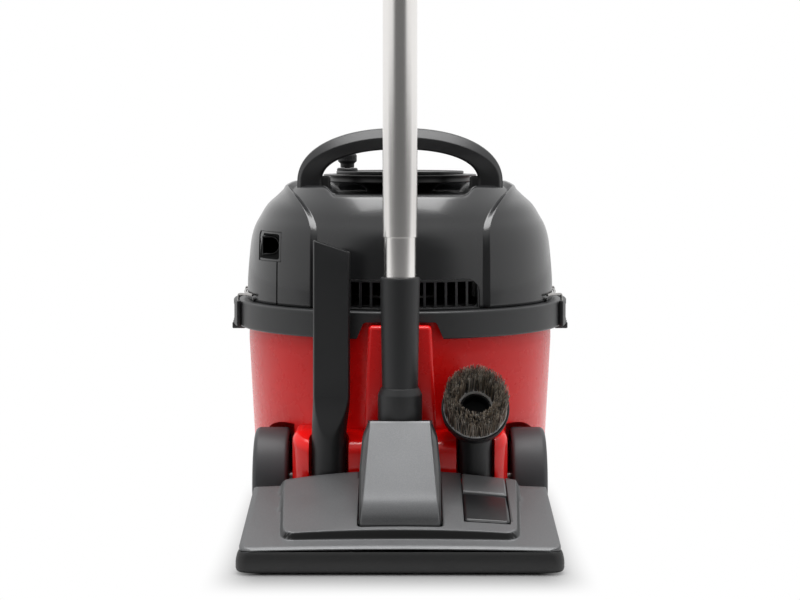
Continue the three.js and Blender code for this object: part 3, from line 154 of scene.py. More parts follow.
# A flat outline drawn out along an axis; its points are in the two other axes.
def drawn(name, outline, low, high, along="z"):
    def at(p, h):
        return {"z": (p[0], p[1], h), "x": (h, p[0], p[1]), "y": (p[0], h, p[1])}[along]
    return skinned(name, [[at(p, h) for p in outline] for h in (low, high)])


def block(name, low, high):
    outline = [(low[0], low[1]), (high[0], low[1]), (high[0], high[1]), (low[0], high[1])]
    return drawn(name, outline, low[2], high[2])


# A slab between a grid of points and the same grid at the heights that foot gives.
def slab(name, rows, foot):
    count = len(rows[0])
    top = [p for row in rows for p in row]
    size = len(top)
    faces = []
    for i in range(len(rows) - 1):
        for j in range(count - 1):
            q = i * count + j
            faces += [(q, q + 1, q + count + 1, q + count),
                      (size + q + count, size + q + count + 1, size + q + 1, size + q)]
    rim = list(range(count)) + [i * count + count - 1 for i in range(1, len(rows))]
    rim += [(len(rows) - 1) * count + j for j in range(count - 2, -1, -1)]
    rim += [i * count for i in range(len(rows) - 2, 0, -1)]
    for a, b in zip(rim, rim[1:] + rim[:1]):
        faces.append((a, size + a, size + b, b))
    return toObject(name, top + [(x, y, foot(x, y)) for x, y, z in top], faces)


# Turns or shifts a piece by a matrix whose origin is on the floor under the tub's centre.
def moved(obj, matrix):
    home = Matrix.Translation((0, frameShift / 1000, 0))
    obj.data.transform(home @ matrix @ home.inverted())
    return obj


# Applies a piece's modifiers.
def settle(obj):
    graph = bpy.context.evaluated_depsgraph_get()
    mesh = bpy.data.meshes.new_from_object(obj.evaluated_get(graph))
    old = obj.data
    obj.modifiers.clear()
    obj.data = mesh
    bpy.data.meshes.remove(old)
    return obj


def combined(obj, others, operation):
    for other in others:
        step = obj.modifiers.new("shape", "BOOLEAN")
        step.operation = operation
        step.object = other
        step.solver = "EXACT"
        settle(obj)
        bpy.data.objects.remove(other)
    return obj


def carve(obj, *cutters):
    return combined(obj, cutters, "DIFFERENCE")


def joinUp(obj, *others):
    return combined(obj, others, "UNION")


def keepIn(obj, *others):
    return combined(obj, others, "INTERSECT")


# Rounds the edges that turn more than an angle.
def eased(obj, width, steps=2, angle=30):
    step = obj.modifiers.new("edges", "BEVEL")
    step.width = width / 1000
    step.segments = steps
    step.limit_method = "ANGLE"
    step.angle_limit = math.radians(angle)
    step.use_clamp_overlap = True
    step.miter_outer = "MITER_ARC"
    return settle(obj)


def arcPoints(cx, cy, radius, start, end, steps):
    out = []
    for i in range(steps + 1):
        a = math.radians(start + (end - start) * i / steps)
        out.append((cx + radius * math.cos(a), cy + radius * math.sin(a)))
    return out


def softStep(t):
    t = min(max(t, 0), 1)
    return t * t * (3 - 2 * t)


def softMin(a, b, k):
    h = min(max(0.5 + 0.5 * (b - a) / k, 0), 1)
    return b + (a - b) * h - k * h * (1 - h)


# A straight ramp from 0 to 1 whose two ends are softened.
def softRamp(t, soft):
    t = min(max(t, 0), 1)
    if t < soft:
        return t * t / (2 * soft * (1 - soft))
    if t > 1 - soft:
        return 1 - (1 - t) ** 2 / (2 * soft * (1 - soft))
    return (t - soft / 2) / (1 - soft)


# A socket's output; sums and products of it add Math nodes.
class Signal:
    def __init__(self, finish, socket):
        self.finish = finish
        self.socket = socket

    def maths(self, operation, first, second):
        return self.finish.node("ShaderNodeMath", {"operation": operation}, {0: first, 1: second})

    def __add__(self, other):
        return self.maths("ADD", self, other)

    def __radd__(self, other):
        return self.maths("ADD", other, self)

    def __sub__(self, other):
        return self.maths("SUBTRACT", self, other)

    def __rsub__(self, other):
        return self.maths("SUBTRACT", other, self)

    def __mul__(self, other):
        return self.maths("MULTIPLY", self, other)

    def __rmul__(self, other):
        return self.maths("MULTIPLY", other, self)


class Finish:
    def __init__(self, name, **fixed):
        self.material = bpy.data.materials.new(name)
        self.material.use_nodes = True
        self.tree = self.material.node_tree
        self.shader = self.tree.nodes["Principled BSDF"]
        for socket, value in fixed.items():
            self.feed(socket.replace("_", " "), value)

    def put(self, socket, value):
        if isinstance(value, Signal):
            self.tree.links.new(value.socket, socket)
        elif hasattr(value, "__len__") and len(value) == 3 and len(socket.default_value) == 4:
            socket.default_value = (*value, 1)
        else:
            socket.default_value = value

    def feed(self, name, value):
        self.put(self.shader.inputs[name], value)

    def node(self, kind, settings=None, values=None, output=0):
        made = self.tree.nodes.new(kind)
        for key, value in (settings or {}).items():
            if key == "stops":
                stops = made.color_ramp.elements
                while len(stops) < len(value):
                    stops.new(0.5)
                for stop, (place, shade) in zip(stops, value):
                    stop.position = place
                    stop.color = (*shade, 1) if hasattr(shade, "__len__") else (shade, shade, shade, 1)
            else:
                setattr(made, key, value)
        for key, value in (values or {}).items():
            self.put(made.inputs[key], value)
        return Signal(self, made.outputs[output])

    def place(self, stretch=(1, 1, 1)):
        at = self.node("ShaderNodeTexCoord", output="Object")
        return self.node("ShaderNodeMapping", {}, {"Vector": at, "Scale": stretch})

    def cloud(self, size, detail=3, rough=0.55, stretch=(1, 1, 1)):
        # size is a feature's width in millimetres
        return self.node("ShaderNodeTexNoise", {}, {"Vector": self.place(stretch), "Scale": 1000 / size,
                                                    "Detail": detail, "Roughness": rough})

    def ramp(self, signal, *stops):
        return self.node("ShaderNodeValToRGB", {"stops": stops}, {"Fac": signal})

    def blendOf(self, share, first, second, kind="MIX"):
        return self.node("ShaderNodeMix", {"data_type": "RGBA", "blend_type": kind},
                         {0: share, 6: first, 7: second}, output=2)

    def relief(self, height, depth, over=None):
        # depth is in millimetres
        values = {"Height": height, "Strength": 1.0, "Distance": depth / 1000}
        if over is not None:
            values["Normal"] = over
        return self.node("ShaderNodeBump", {}, values)


# Moulded plastic: slightly uneven colour and gloss, fine grain, and scuffs where it is handled. The grain's
# depth and size and the edge's radius are in millimetres; the riser under the deck's panel can get painted shade.
def mouldedPlastic(name, colour, roughness, grain=0.02, grainSize=0.9, speckle=0.0, coat=0.0, edge=0.5, wear=0.0,
                   ior=1.48, paintedRiserShade=False, flake=0.0):
    finish = Finish(name, IOR=ior, Metallic=flake, Coat_Roughness=0.08)
    broad = finish.cloud(60, 2)
    fine = finish.cloud(grainSize, 2, 0.6)
    dark = tuple(c * 0.92 for c in colour)
    light = tuple(min(1, c * 1.06 + 0.001) for c in colour)
    shade = finish.blendOf(broad, dark, light)
    if speckle:
        dots = finish.ramp(finish.cloud(1.0, 1, 0.4), (0.42, 0), (0.62, 1))
        pale = tuple(min(1, c * (1 + speckle) + 0.01 * speckle) for c in colour)
        deep = tuple(c * (1 - speckle * 0.45) for c in colour)
        shade = finish.blendOf(dots, deep, finish.blendOf(0.5, shade, pale))
    if wear:
        scuffs = finish.ramp(finish.cloud(9, 5, 0.7, (1, 1, 0.35)), (0.62, 0), (0.78, 1))
        pale = tuple(min(1, c * 1.6 + 0.03) for c in colour)
        shade = finish.blendOf(scuffs * wear, shade, pale)
    # painted shade: the riser round the deck's raised panel is darkened nearly to black
    if paintedRiserShade:
        riser = finish.node("ShaderNodeVertexColor", {"layer_name": "riser"})
        shade = finish.blendOf(finish.ramp(riser, (0, 0), (1, 1)), shade, tuple(c * 0.08 for c in colour))
    finish.feed("Base Color", shade)
    smudge = finish.cloud(28, 4, 0.6)
    finish.feed("Roughness", roughness * 0.86 + smudge * (roughness * 0.3))
    if coat:
        finish.feed("Coat Weight", coat)
    soft = finish.node("ShaderNodeBevel", {"samples": 6}, {"Radius": edge / 1000}) if edge else None
    finish.feed("Normal", finish.relief(fine, grain, soft))
    return finish.material


# Drawn steel tube: fine lines round it, a slight tint and faint smears.
def tubeSteel(name, colour, roughness):
    finish = Finish(name, Metallic=1.0)
    lines = finish.cloud(3, 3, 0.6, (0.15, 0.15, 9))
    smear = finish.cloud(45, 4, 0.6, (1, 1, 0.3))
    finish.feed("Base Color", finish.blendOf(smear, tuple(c * 0.94 for c in colour), colour))
    finish.feed("Roughness", roughness * 0.85 + lines * (roughness * 0.25) + smear * 0.05)
    finish.feed("Normal", finish.relief(lines, 0.012))
    return finish.material


def softRubber(name, colour):
    finish = Finish(name, IOR=1.45)
    dust = finish.ramp(finish.cloud(14, 5, 0.65), (0.45, 0), (0.75, 1))
    finish.feed("Base Color", finish.blendOf(dust * 0.5, colour, tuple(c * 1.5 + 0.02 for c in colour)))
    finish.feed("Roughness", 0.62 + finish.cloud(5, 3) * 0.25)
    finish.feed("Normal", finish.relief(finish.cloud(0.7, 2), 0.05))
    return finish.material


# Non-woven cloth: random fibres, soft sheen and dust.
def feltCloth(name, colour):
    finish = Finish(name, IOR=1.4, Sheen_Weight=0.35)
    fibres = finish.node("ShaderNodeTexNoise", {}, {"Vector": finish.place(), "Scale": 1800, "Detail": 4,
                                                    "Distortion": 2.5})
    dirt = finish.ramp(finish.cloud(50, 4), (0.4, 0), (0.8, 1))
    pale = finish.blendOf(fibres, tuple(c * 0.82 for c in colour), colour)
    finish.feed("Base Color", finish.blendOf(dirt * 0.35, pale, tuple(c * 0.6 for c in colour)))
    finish.feed("Roughness", 0.85 + fibres * 0.1)
    finish.feed("Normal", finish.relief(fibres, 0.12))
    return finish.material


# Bristle hair: each strand takes its own brown, black or grey, with faint dark streaks.
def brushHair(name):
    finish = Finish(name, IOR=1.5)
    tint = finish.node("ShaderNodeVertexColor", {"layer_name": "strand"})
    streak = finish.cloud(1.2, 2, 0.6, (1, 1, 0.2))
    shade = finish.blendOf(streak * 0.12, tint, (0.03, 0.024, 0.018))
    finish.feed("Base Color", shade)
    finish.feed("Roughness", 0.42 + streak * 0.2)
    return finish.material


def paint(obj, material):
    obj.data.materials.clear()
    obj.data.materials.append(material)


# Smooth shading with creases, then the piece's body and the nodes that it stands for; the slot is not used.
def place(obj, body, material, slot, *nodes, crease=32):
    paint(obj, material)
    obj.data.polygons.foreach_set("use_smooth", [True] * len(obj.data.polygons))
    obj.data.set_sharp_from_angle(angle=math.radians(crease))
    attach(obj, body)
    if nodes:
        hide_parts(*nodes)
    return obj


finishes = {
    "tubRed": mouldedPlastic("tubRed", (0.93, 0.006, 0.006), 0.27, grain=0.0003, grainSize=2.5, ior=1.42),
    "baseRed": mouldedPlastic("baseRed", (0.95, 0.004, 0.003), 0.16, grain=0.0004, grainSize=2.5, ior=1.42,
                              edge=1.5),
    "headBlack": mouldedPlastic("headBlack", (0.016, 0.0165, 0.0175), 0.25, grain=0.006, coat=0.2, edge=1.0),
    "handleBlack": mouldedPlastic("handleBlack", (0.012, 0.0122, 0.0132), 0.42, grain=0.02, edge=0.8, wear=0.15),
    "rimGrey": mouldedPlastic("rimGrey", (0.02, 0.021, 0.022), 0.42, grain=0.02, edge=0.8),
    "black": mouldedPlastic("blackPlastic", (0.013, 0.0135, 0.0145), 0.45, grain=0.02, edge=0.5),
    "cuffBlack": mouldedPlastic("cuffBlack", (0.011, 0.0115, 0.0125), 0.46, grain=0.03, edge=0.5),
    "creviceBlack": mouldedPlastic("creviceBlack", (0.009, 0.0095, 0.0105), 0.5, grain=0.03, edge=0.6, wear=0.2),
    "toolGrey": mouldedPlastic("toolGrey", (0.118, 0.12, 0.123), 0.42, grain=0.03, grainSize=0.8, speckle=0.12,
                               edge=0.8, wear=0.12, paintedRiserShade=True, flake=0.5),
    "coverGrey": mouldedPlastic("coverGrey", (0.118, 0.12, 0.123), 0.4, grain=0.03, grainSize=0.8, speckle=0.12,
                                edge=0.6, flake=0.65),
    "bumperBlack": mouldedPlastic("bumperBlack", (0.004, 0.0041, 0.0043), 0.5, grain=0.03, edge=0.8, wear=0.15),
    "wheelGrey": mouldedPlastic("wheelGrey", (0.052, 0.053, 0.057), 0.5, grain=0.03, edge=0.8, wear=0.2),
    "switchRed": mouldedPlastic("switchRed", (0.6, 0.01, 0.01), 0.25, grain=0.004, coat=0.3, edge=0.8),
    "glossBlack": mouldedPlastic("glossBlack", (0.009, 0.0095, 0.0105), 0.32, grain=0.006, edge=0.6),
    "pedalGrey": mouldedPlastic("pedalGrey", (0.13, 0.132, 0.135), 0.34, grain=0.02, edge=0.6),
    "steel": tubeSteel("tubeSteel", (0.86, 0.84, 0.82), 0.2),
    "wireSteel": tubeSteel("wireSteel", (0.4, 0.39, 0.38), 0.3),
    "plated": tubeSteel("platedSheet", (0.5, 0.5, 0.49), 0.4),
    "rubber": softRubber("softRubber", (0.016, 0.016, 0.017)),
    "cloth": feltCloth("bagCloth", (0.72, 0.69, 0.62)),
    "card": feltCloth("bagCard", (0.5, 0.36, 0.2)),
    "hair": brushHair("brushHair"),
    "grille": mouldedPlastic("grilleBlack", (0.012, 0.0125, 0.0135), 0.38, grain=0.015, edge=0.6),
    "turretBlack": mouldedPlastic("turretBlack", (0.012, 0.0122, 0.0128), 0.36, grain=0.012, edge=0.6),
    "inner": mouldedPlastic("innerBlack", (0.006, 0.006, 0.0065), 0.6, grain=0.02, edge=0),
}
print("finishes ready")


# The tub with its wheel wells and the column in which the wand's collar docks.
tubSizes = {"radius": 163, "foot": 155, "wall": 3, "floor": 40, "bend": 182, "top": 222.3, "hub": (-110, 50),
            "boss": 10, "axleBore": 5.3, "wellRadius": 55, "wellX": 108, "inletBore": 23.3, "inletZ": 140,
            "dockTop": 31, "dockFoot": 36, "dockReach": 21, "dockLow": 106, "dockHigh": 211.5, "channel": 21.95,
            "channelY": -200}


def makeTub():
    s = tubSizes
    r, w, low, bend = s["radius"], s["wall"], s["floor"], s["bend"]
    outer = rounded([(0, low), (s["foot"], low, 9), (r, bend, 60), (r, s["top"]), (0, s["top"])], 8)
    tub = spun("tubShell", outer, 144)
    inner = rounded([(0, low + w), (s["foot"] - w, low + w, 8), (r - w, bend, 60), (r - w, 400), (0, 400)], 8)
    room = spun("tubRoom", inner, 144)
    for side in (-1, 1):
        carve(tub, rod("well", s["wellRadius"], side * s["wellX"], side * 400, 72, s["hub"], "x"))
        carve(room, rod("wellGrown", s["wellRadius"] + w, side * (s["wellX"] - w), side * 400, 72, s["hub"], "x"))
    dock = [(-s["dockFoot"], s["dockLow"]), (s["dockFoot"], s["dockLow"]), (s["dockTop"], s["dockHigh"]),
            (-s["dockTop"], s["dockHigh"])]
    column = drawn("dockColumn", dock, -r - s["dockReach"], -r + 12, "y")
    eased(column, 4, 4)
    carve(column, rod("channel", s["channel"], 0, 300, 96, (0, s["channelY"])))
    joinUp(tub, column)
    carve(tub, room)
    for side in (-1, 1):
        joinUp(tub, rod("boss", s["boss"], *sorted((side * 86, side * 109)), 32, s["hub"], "x"))
        carve(tub, rod("axleHole", s["axleBore"], *sorted((side * 90, side * 200)), 32, s["hub"], "x"))
    carve(tub, rod("inletHole", s["inletBore"], 100, 300, 64, (0, s["inletZ"]), "y"))
    place(tub, "tub_body", finishes["tubRed"], "tub_red", "tub")


# The band round the tub's top, with a notch over the dock and ears for the two clips.
rimSizes = {"low": 197, "top": 224.5, "radius": 175, "notchTop": 36, "notchFoot": 45, "notchHigh": 214,
            "hinge": (177.8, 195)}


def makeRim():
    s = rimSizes
    inner, r = tubSizes["radius"] + 0.3, s["radius"]
    profile = closedLine([(inner, s["low"]), (r, s["low"], 2.2), (r, 201), (r, 219), (r, s["top"], 3.2),
                          (inner, s["top"])])
    band = spun("rimBand", profile, 180)
    a, b, high = s["notchTop"], s["notchFoot"], s["notchHigh"]
    notch = rounded([(-b, 150), (b, 150), (b, 193), (a, high, 4), (-a, high, 4), (-b, 193)], 6, loop=True)
    carve(band, drawn("notch", notch, -300, -100, "y"))
    x, z = s["hinge"]
    for side in (-1, 1):
        for end in (-1, 1):
            xs, ys = sorted((side * 166, side * 180)), sorted((end * 20.3, end * 25))
            ear = block("ear", (xs[0], ys[0], 192.8), (xs[1], ys[1], 199.5))
            joinUp(band, eased(ear, 1.2, 3), rod("pin", 1, *sorted((end * 17, end * 21)), 20, (side * x, z), "y"))
    place(band, "tub_body", finishes["rimGrey"], "rim_grey", "rim_band")


# The glossy base behind the tub. Each of its two cups holds a peg for a hand tool.
baseSizes = {"half": 107, "rear": -190, "low": 30, "deck": 105.7, "deckRear": 96, "run": 28, "corner": 26,
             "edge": 9, "cups": [(-70, 17.5), (74, 16.8)], "pegY": -178, "ledge": 62, "pegTop": 88,
             "pegRadius": 11.5, "gap": 0.3}


def makeBase():
    s = baseSizes

    def ring(z, shrink):
        r = s["corner"] - shrink
        half, rear = s["half"] - shrink, s["rear"] + shrink
        outline = [(-half, -95), *arcPoints(-half + r, rear + r, r, 180, 270, 12),
                   *arcPoints(half - r, rear + r, r, 270, 360, 12), (half, -95)]
        return [(x, y, z) for x, y in outline]

    # The deck slopes down to the rear face and rolls over its edge.
    def deckAt(y):
        return s["deckRear"] + (s["deck"] - s["deckRear"]) * min(max((y - s["rear"]) / s["run"], 0), 1)

    rows = [ring(s["low"], 3), ring(s["low"] + 1, 1), ring(s["low"] + 3, 0)]
    for i in range(13):
        a = math.radians(90 * i / 12)
        rows.append([(x, y, deckAt(y) - s["edge"] * (1 - math.sin(a)))
                     for x, y, z in ring(0, s["edge"] * (1 - math.cos(a)))])
    inner = rows[-1]
    for level in (-184, -172, -163, -150, -120):
        rows.append([(x, max(y, level), deckAt(max(y, level))) for x, y, z in inner])
    base = skinned("rearBase", rows)
    gap, foot, wall = s["gap"], tubSizes["foot"] + s["gap"], tubSizes["radius"] + s["gap"]
    tubOutside = rounded([(0, tubSizes["floor"] - gap), (foot, tubSizes["floor"] - gap, 9),
                          (wall, tubSizes["bend"], 60), (wall, 400), (0, 400)], 8)
    carve(base, spun("tubOutside", tubOutside, 144))
    for side in (-1, 1):
        carve(base, rod("bossRoom", tubSizes["boss"] + gap, *sorted((side * 85.7, side * 108.3)), 32,
                        tubSizes["hub"], "x"))
    high = s["deck"] + 60
    for x, radius in s["cups"]:
        at = (x, s["pegY"])
        cup = rounded([(0, s["ledge"]), (radius + 2, s["ledge"], 1.5), (radius + 2, s["deck"] - 2.5),
                       (radius + 4.5, high), (0, high)], 5)
        carve(base, spun("cup", cup, 72, at),
              block("cupMouth", (x - radius - 2, -300, s["ledge"]), (x + radius + 2, s["pegY"], 300)))
        peg = rounded([(0, s["ledge"] - 1), (s["pegRadius"], s["ledge"] - 1), (s["pegRadius"], s["pegTop"], 2),
                       (0, s["pegTop"])], 4)
        joinUp(base, spun("peg", peg, 48, at))
    place(base, "tub_body", finishes["baseRed"], "base_red", "rear_base")


makeTub()
makeRim()
makeBase()
print("tub done")


# Rear wheels with a smooth tread, their hub caps and the stub axles.
wheelSizes = {"radius": 50, "width": 35, "inner": 113, "y": -110, "bore": 5.3, "axle": 5, "axleEnds": (91, 142.3)}


def makeRearWheel(name, side):
    s = wheelSizes
    inner, outer, r = s["inner"], s["inner"] + s["width"], s["radius"]
    centre = (s["y"], r)
    line = [(s["bore"], inner), (r - 14, inner), (r - 14, inner + 3), (r - 7, inner + 3),
            *rounded([(r - 7, inner), (r, inner, 4), (r, inner + 8)], 6), (r, outer - 12),
            *rounded([(r, outer - 11), (r, outer, 8), (r - 16, outer)], 10)[1:],
            (r - 18, outer - 2), (r - 22, outer - 2), (r - 24, outer - 0.5), (20, outer - 0.5), (20, outer - 5),
            (s["bore"], outer - 5), (s["bore"], inner)]
    wheel = spun("wheel_" + name, [(a, side * b) for a, b in line], 120, centre, "x")
    place(wheel, f"rear_wheel_{name}_body", finishes["wheelGrey"], "wheel_grey", f"rear_wheel_{name}")
    cap = [(0, outer - 4.7), (19.5, outer - 4.7),
           *rounded([(19.5, outer - 4.7), (19.5, outer - 1, 1.2), (15, outer - 0.6), (13.6, outer - 1.6),
                     (12.2, outer - 0.2), (6, outer + 0.8, 8), (0, outer + 1)], 5)[1:]]
    hub = spun("hubCap_" + name, [(a, side * b) for a, b in cap], 64, centre, "x")
    place(hub, f"rear_wheel_{name}_body", finishes["black"], "black_plastic", f"hub_cap_{name}")


castorSizes = {"x": 84, "y": 88, "trail": 9, "axleZ": 16, "axle": 2, "tyre": 16, "tyreHalf": 5.9, "stem": 4}


def makeCastor(name, side):
    s = castorSizes
    x, axleY = side * s["x"], s["y"] + s["trail"]
    line = rounded([(0, 36.2), (15, 36.2, 1), (15, 39.7), (s["stem"], 39.7), (s["stem"], 55, 0.8), (0, 55)], 3)
    fork = spun("castorFork_" + name, line, 48, (x, s["y"]))
    for edge in (-1, 1):
        corners = [(axleY - 7, 37.5), (axleY - 6, 11, 5), (axleY + 5, 11, 5), (axleY + 5, 37.5)]
        cheek = drawn("cheek", rounded(corners, 6, loop=True), *sorted((x + edge * 7, x + edge * 10)), "x")
        joinUp(fork, eased(cheek, 0.5))
    joinUp(fork, rod("pin", s["axle"], x - 8, x + 8, 24, (axleY, s["axleZ"]), "x"))
    place(fork, f"castor_{name}_body", finishes["black"], "black_plastic", f"castor_fork_{name}")
    r, half = s["tyre"], s["tyreHalf"]
    line = closedLine([(2.3, -half), (12, -half, 0.6), (12.4, -5), (13.2, -half), (r, -half, 3), (r, half, 3),
                       (13.2, half), (12.4, 5), (12, half, 0.6), (2.3, half)], 5)
    tyre = spun("castorWheel_" + name, [(a, x + b) for a, b in line], 64, (axleY, s["axleZ"]), "x")
    place(tyre, f"castor_wheel_{name}_body", finishes["rubber"], "rubber", f"castor_wheel_{name}")


# The hose inlet on the tub's front, with three screws and a lip seal.
inletSizes = {"z": 140, "front": 185, "neck": 27, "spigot": 23, "bore": 19, "flange": 36, "wall": 163.3,
              "inner": 122, "screwOrbit": 31.5}


def makeInlet():
    s = inletSizes
    front, wall, neck, bore = s["front"], s["wall"], s["neck"], s["bore"]
    line = closedLine([(bore, s["inner"]), (s["spigot"], s["inner"], 1), (s["spigot"], wall),
                       (s["flange"], wall, 0.5), (s["flange"], wall + 4, 1.6), (neck + 1, wall + 5, 3),
                       (neck, front - 6), (neck - 1, front - 5.4), (neck - 1, front - 4.6), (neck, front - 4),
                       (neck, front, 1), (bore + 3, front, 0.6), (bore + 3, front - 8), (bore, front - 8)], 5)
    inlet = spun("hoseInlet", line, 96, (0, s["z"]), "y")
    screw = rounded([(0, wall + 1.6), (2.3, wall + 1.6), (2.3, wall + 3.4, 0.7), (0, wall + 3.9)], 4)
    for k in range(3):
        a = math.radians(90 + 120 * k)
        at = (s["screwOrbit"] * math.cos(a), s["z"] + s["screwOrbit"] * math.sin(a))
        carve(inlet, rod("screwRoom", 2.6, wall + 2, front, 24, at, "y"))
        joinUp(inlet, spun("screwHead", screw, 24, at, "y"))
    place(inlet, "tub_body", finishes["black"], "black_plastic", "hose_inlet")
    low, high = bore - 1, bore + 2.7
    lip = closedLine([(low + 1.6, front - 7.7), (high, front - 7.7, 0.4), (high, front - 1, 0.8),
                      (low, front - 1.2, 0.6), (low + 0.4, front - 3.2, 1.5)], 5)
    seal = spun("inletSeal", lip, 96, (0, s["z"]), "y")
    place(seal, "tub_body", finishes["rubber"], "rubber", "inlet_seal")


for name, side in (("left", -1), ("right", 1)):
    makeRearWheel(name, side)
    makeCastor(name, side)
makeInlet()
print("wheels done")


# The dome of the power head, with its recessed rear panel and the well in its top.
domeSizes = {"foot": 224.8, "wall": 11.2, "floor": 338, "panelHalf": 90.3, "panelTopHalf": 127,
             "straight": 75, "ridge": 5.2, "wellHalf": 68, "wellTopHalf": 80, "wellFront": 110, "shoulderDrop": 2.5,
             "outletX": -135, "outletZ": 284.5, "outletHalf": (12.5, 15), "outletFace": -68}

# From the foot up: radius and height of the outside, then of the recessed rear panel at the same place.
domeLine = [(165, 2, 160, 2), (164.5, 25, 159.2, 25), (162, 55, 157.2, 54.2), (160, 68, 155.3, 66.8),
            (156.5, 79, 152, 77.2), (151, 89, 146.8, 86.6), (145, 99, 141.2, 95.8), (137, 109, 133.7, 105.2),
            (125.5, 120.4, 123, 116.2), (120, 124.2, 118.5, 120.4), (114, 126.4, 114, 122.4),
            (108, 126.3, 108, 122.2), (100, 125.2, 100, 121.4), (91, 123.8, 91, 120.2), (82, 122.4, 82, 119)]


# How far the surface has gone down to the panel, e millimetres outside the ridge's line.
def ridgeShare(e):
    return softRamp((1.2 - e) / domeSizes["ridge"], 0.2)


def panelWidth(h):
    s = domeSizes
    t = max(0, (h - s["straight"]) / 52)
    return s["panelHalf"] + (s["panelTopHalf"] - s["panelHalf"]) * t * t


# Height over the dome's foot to which the well in the top cuts the surface down.
def wellHeight(x, y):
    s = domeSizes
    out = abs(x)
    h = s["floor"] - s["foot"] + max(0, min(out, s["wellTopHalf"]) - s["wellHalf"])
    h += max(0, out - s["wellTopHalf"]) * 2.25
    h += max(0, math.hypot(x, y) - 98) * 1.6 * softStep(y / 30)
    return h + max(0, y - s["wellFront"] + 4) * 1.6


def makeDome():
    s = domeSizes
    foot, floor, w = s["foot"], s["floor"], s["wall"]
    line = [(163.2, 0, 158.2, 0), (164.4, 0.4, 159.4, 0.4)] + smoothLine(domeLine, 92)
    _, top, _, panelTop = line[-1]
    line += [(r, top, r, panelTop) for r in range(80, 8, -2)]
    gaps = [2.6 - 0.5 * k for k in range(19)]
    rows = []
    for r, h, panelR, panelH in line:
        if r > 117:  # further in, the ridges keep their direction
            lean = math.asin(min(panelWidth(h) / r, 0.964))
        reach = r * max(math.cos(lean), 0.3)
        first = lean + gaps[-1] / reach
        half = [(first * k / 40, 1) for k in range(40)]
        half += [(lean + e / reach, ridgeShare(e)) for e in reversed(gaps)]
        last = half[-1][0]
        half += [(last + (math.pi - last) * k / 80, 0) for k in range(1, 81)]
        row = []
        for a, share in [(-a, f) for a, f in reversed(half[1:-1])] + half:
            share *= softStep((r * math.cos(a) - 12) / 14)
            out, up = r + (panelR - r) * share, h + (panelH - h) * share
            x, y = out * math.sin(a), -out * math.cos(a)
            beyond = softStep(((abs(a) - lean) * reach - 4) / 12)
            up -= s["shoulderDrop"] * beyond * softStep((r - 104) / 14) * softStep((146 - r) / 14)
            if up > 96:
                up = softMin(up, wellHeight(x, y), 3)
            row.append((x, y, foot + up))
        rows.append(row)
    dome = skinned("headDome", rows)
    room = [(0, 200), (165 - w, 200), (165 - w, foot + 8), (162 - w, foot + 55), (156.5 - w, foot + 79),
            (150 - w, foot + 88), (118, floor - 11), (0, floor - 11)]
    carve(dome, spun("domeRoom", room, 128))
    carve(dome, drawn("grilleRoom", grilleLine(0.3), -300, -97, "y"))
    x, z, face = s["outletX"], s["outletZ"], s["outletFace"]
    a, b = s["outletHalf"]
    carve(dome, block("outletRoom", (x - a - 0.3, -300, z - b - 0.3), (x + a + 0.3, face + 9.3, z + b + 0.3)),
          block("cableWay", (x - 8.5, face, z - 8.5), (x + 8.5, -35, z + 8.5)),
          block("seam", (x + 7.9, -300, foot - 5), (x + 9.1, -93.4, z - b - 0.3)),
          rod("spindleHole", 8.3, 300, 400, 48, (0, 25)))
    for side in (-1, 1):
        for end in (-1, 1):
            a = math.radians(22 * end)
            lug = spun("lug", [(0, 161), (2.05, 161), (2.05, 166.8), (1.6, 167.3), (0, 167.3)], 24, (0, 0), "x")
            turn = math.atan2(math.sin(a), side * math.cos(a))
            lift = Matrix.Translation((0, 0, (foot + 2.25) / 1000))
            joinUp(dome, moved(lug, lift @ Matrix.Rotation(turn, 4, "Z")))
    x, y = switchSizes["centre"]
    a, b = switchSizes["half"]
    carve(dome, block("switchRoom", (x - a - 0.3, y - b - 0.3, floor + 0.3), (x + a + 0.3, y + b + 0.3, 400)))
    place(dome, "power_head", finishes["headBlack"], "head_black", "power_head_dome")


# The row of exhaust slots at the foot of the rear panel.
grilleSizes = {"half": 80, "height": 30, "radius": 159.7, "corner": 14, "slots": 15, "pitch": 10.7,
               "slotHalf": 4.1, "slotHeight": 26, "lip": 1.6, "aside": 2.2}


def grilleLine(grow):
    s = grilleSizes
    half, top, r = s["half"] + grow, domeSizes["foot"] + s["height"] + grow, s["corner"] + grow
    return [(-half, domeSizes["foot"] - 1), (half, domeSizes["foot"] - 1),
            *arcPoints(half - r, top - r, r, 0, 90, 10), *arcPoints(-half + r, top - r, r, 90, 180, 10)]


def makeGrille():
    s = grilleSizes
    foot, r = domeSizes["foot"], s["radius"]
    plate = spun("exhaustGrille", closedLine([(r - 5.7, foot), (r, foot), (r - 0.6, foot + 20), (r - 1, foot + 40),
                                              (r - 5.7, foot + 40)]), 256)
    keepIn(plate, drawn("grilleEdge", grilleLine(0), -300, -97, "y"))
    face = spun("barFace", [(r - 1.2, foot - 5), (r + 9, foot - 5), (r + 9, foot + 60), (r - 1.2, foot + 60),
                            (r - 1.2, foot - 5)], 256)
    inside = [(x, max(z, foot + 1.4)) for x, z in grilleLine(-s["lip"])]
    carve(plate, keepIn(face, drawn("lipEdge", inside, -300, -97, "y")))
    low, high = foot + 2.4, foot + 1.6 + s["slotHeight"]
    middle, half = (s["slots"] - 1) / 2, s["slotHalf"]
    for i in range(s["slots"]):
        x = (i - middle) * s["pitch"] - s["aside"]
        if abs(i - middle) == middle:  # the end slots follow the rounded corners
            side = math.copysign(1, i - middle)
            far, near = side * (s["half"] - 2.2), x - side * half
            slot = rounded([(near, low, 0.8), (far, low, 7), (far, high, 9), (near, high, 0.8)], 8, loop=True)
        else:
            slot = boxLine((x - half, low), (x + half, high), 0.8, 3)
        carve(plate, drawn("slot", slot, -300, -97, "y"))
    place(plate, "power_head", finishes["grille"], "black_plastic", "exhaust_grille")


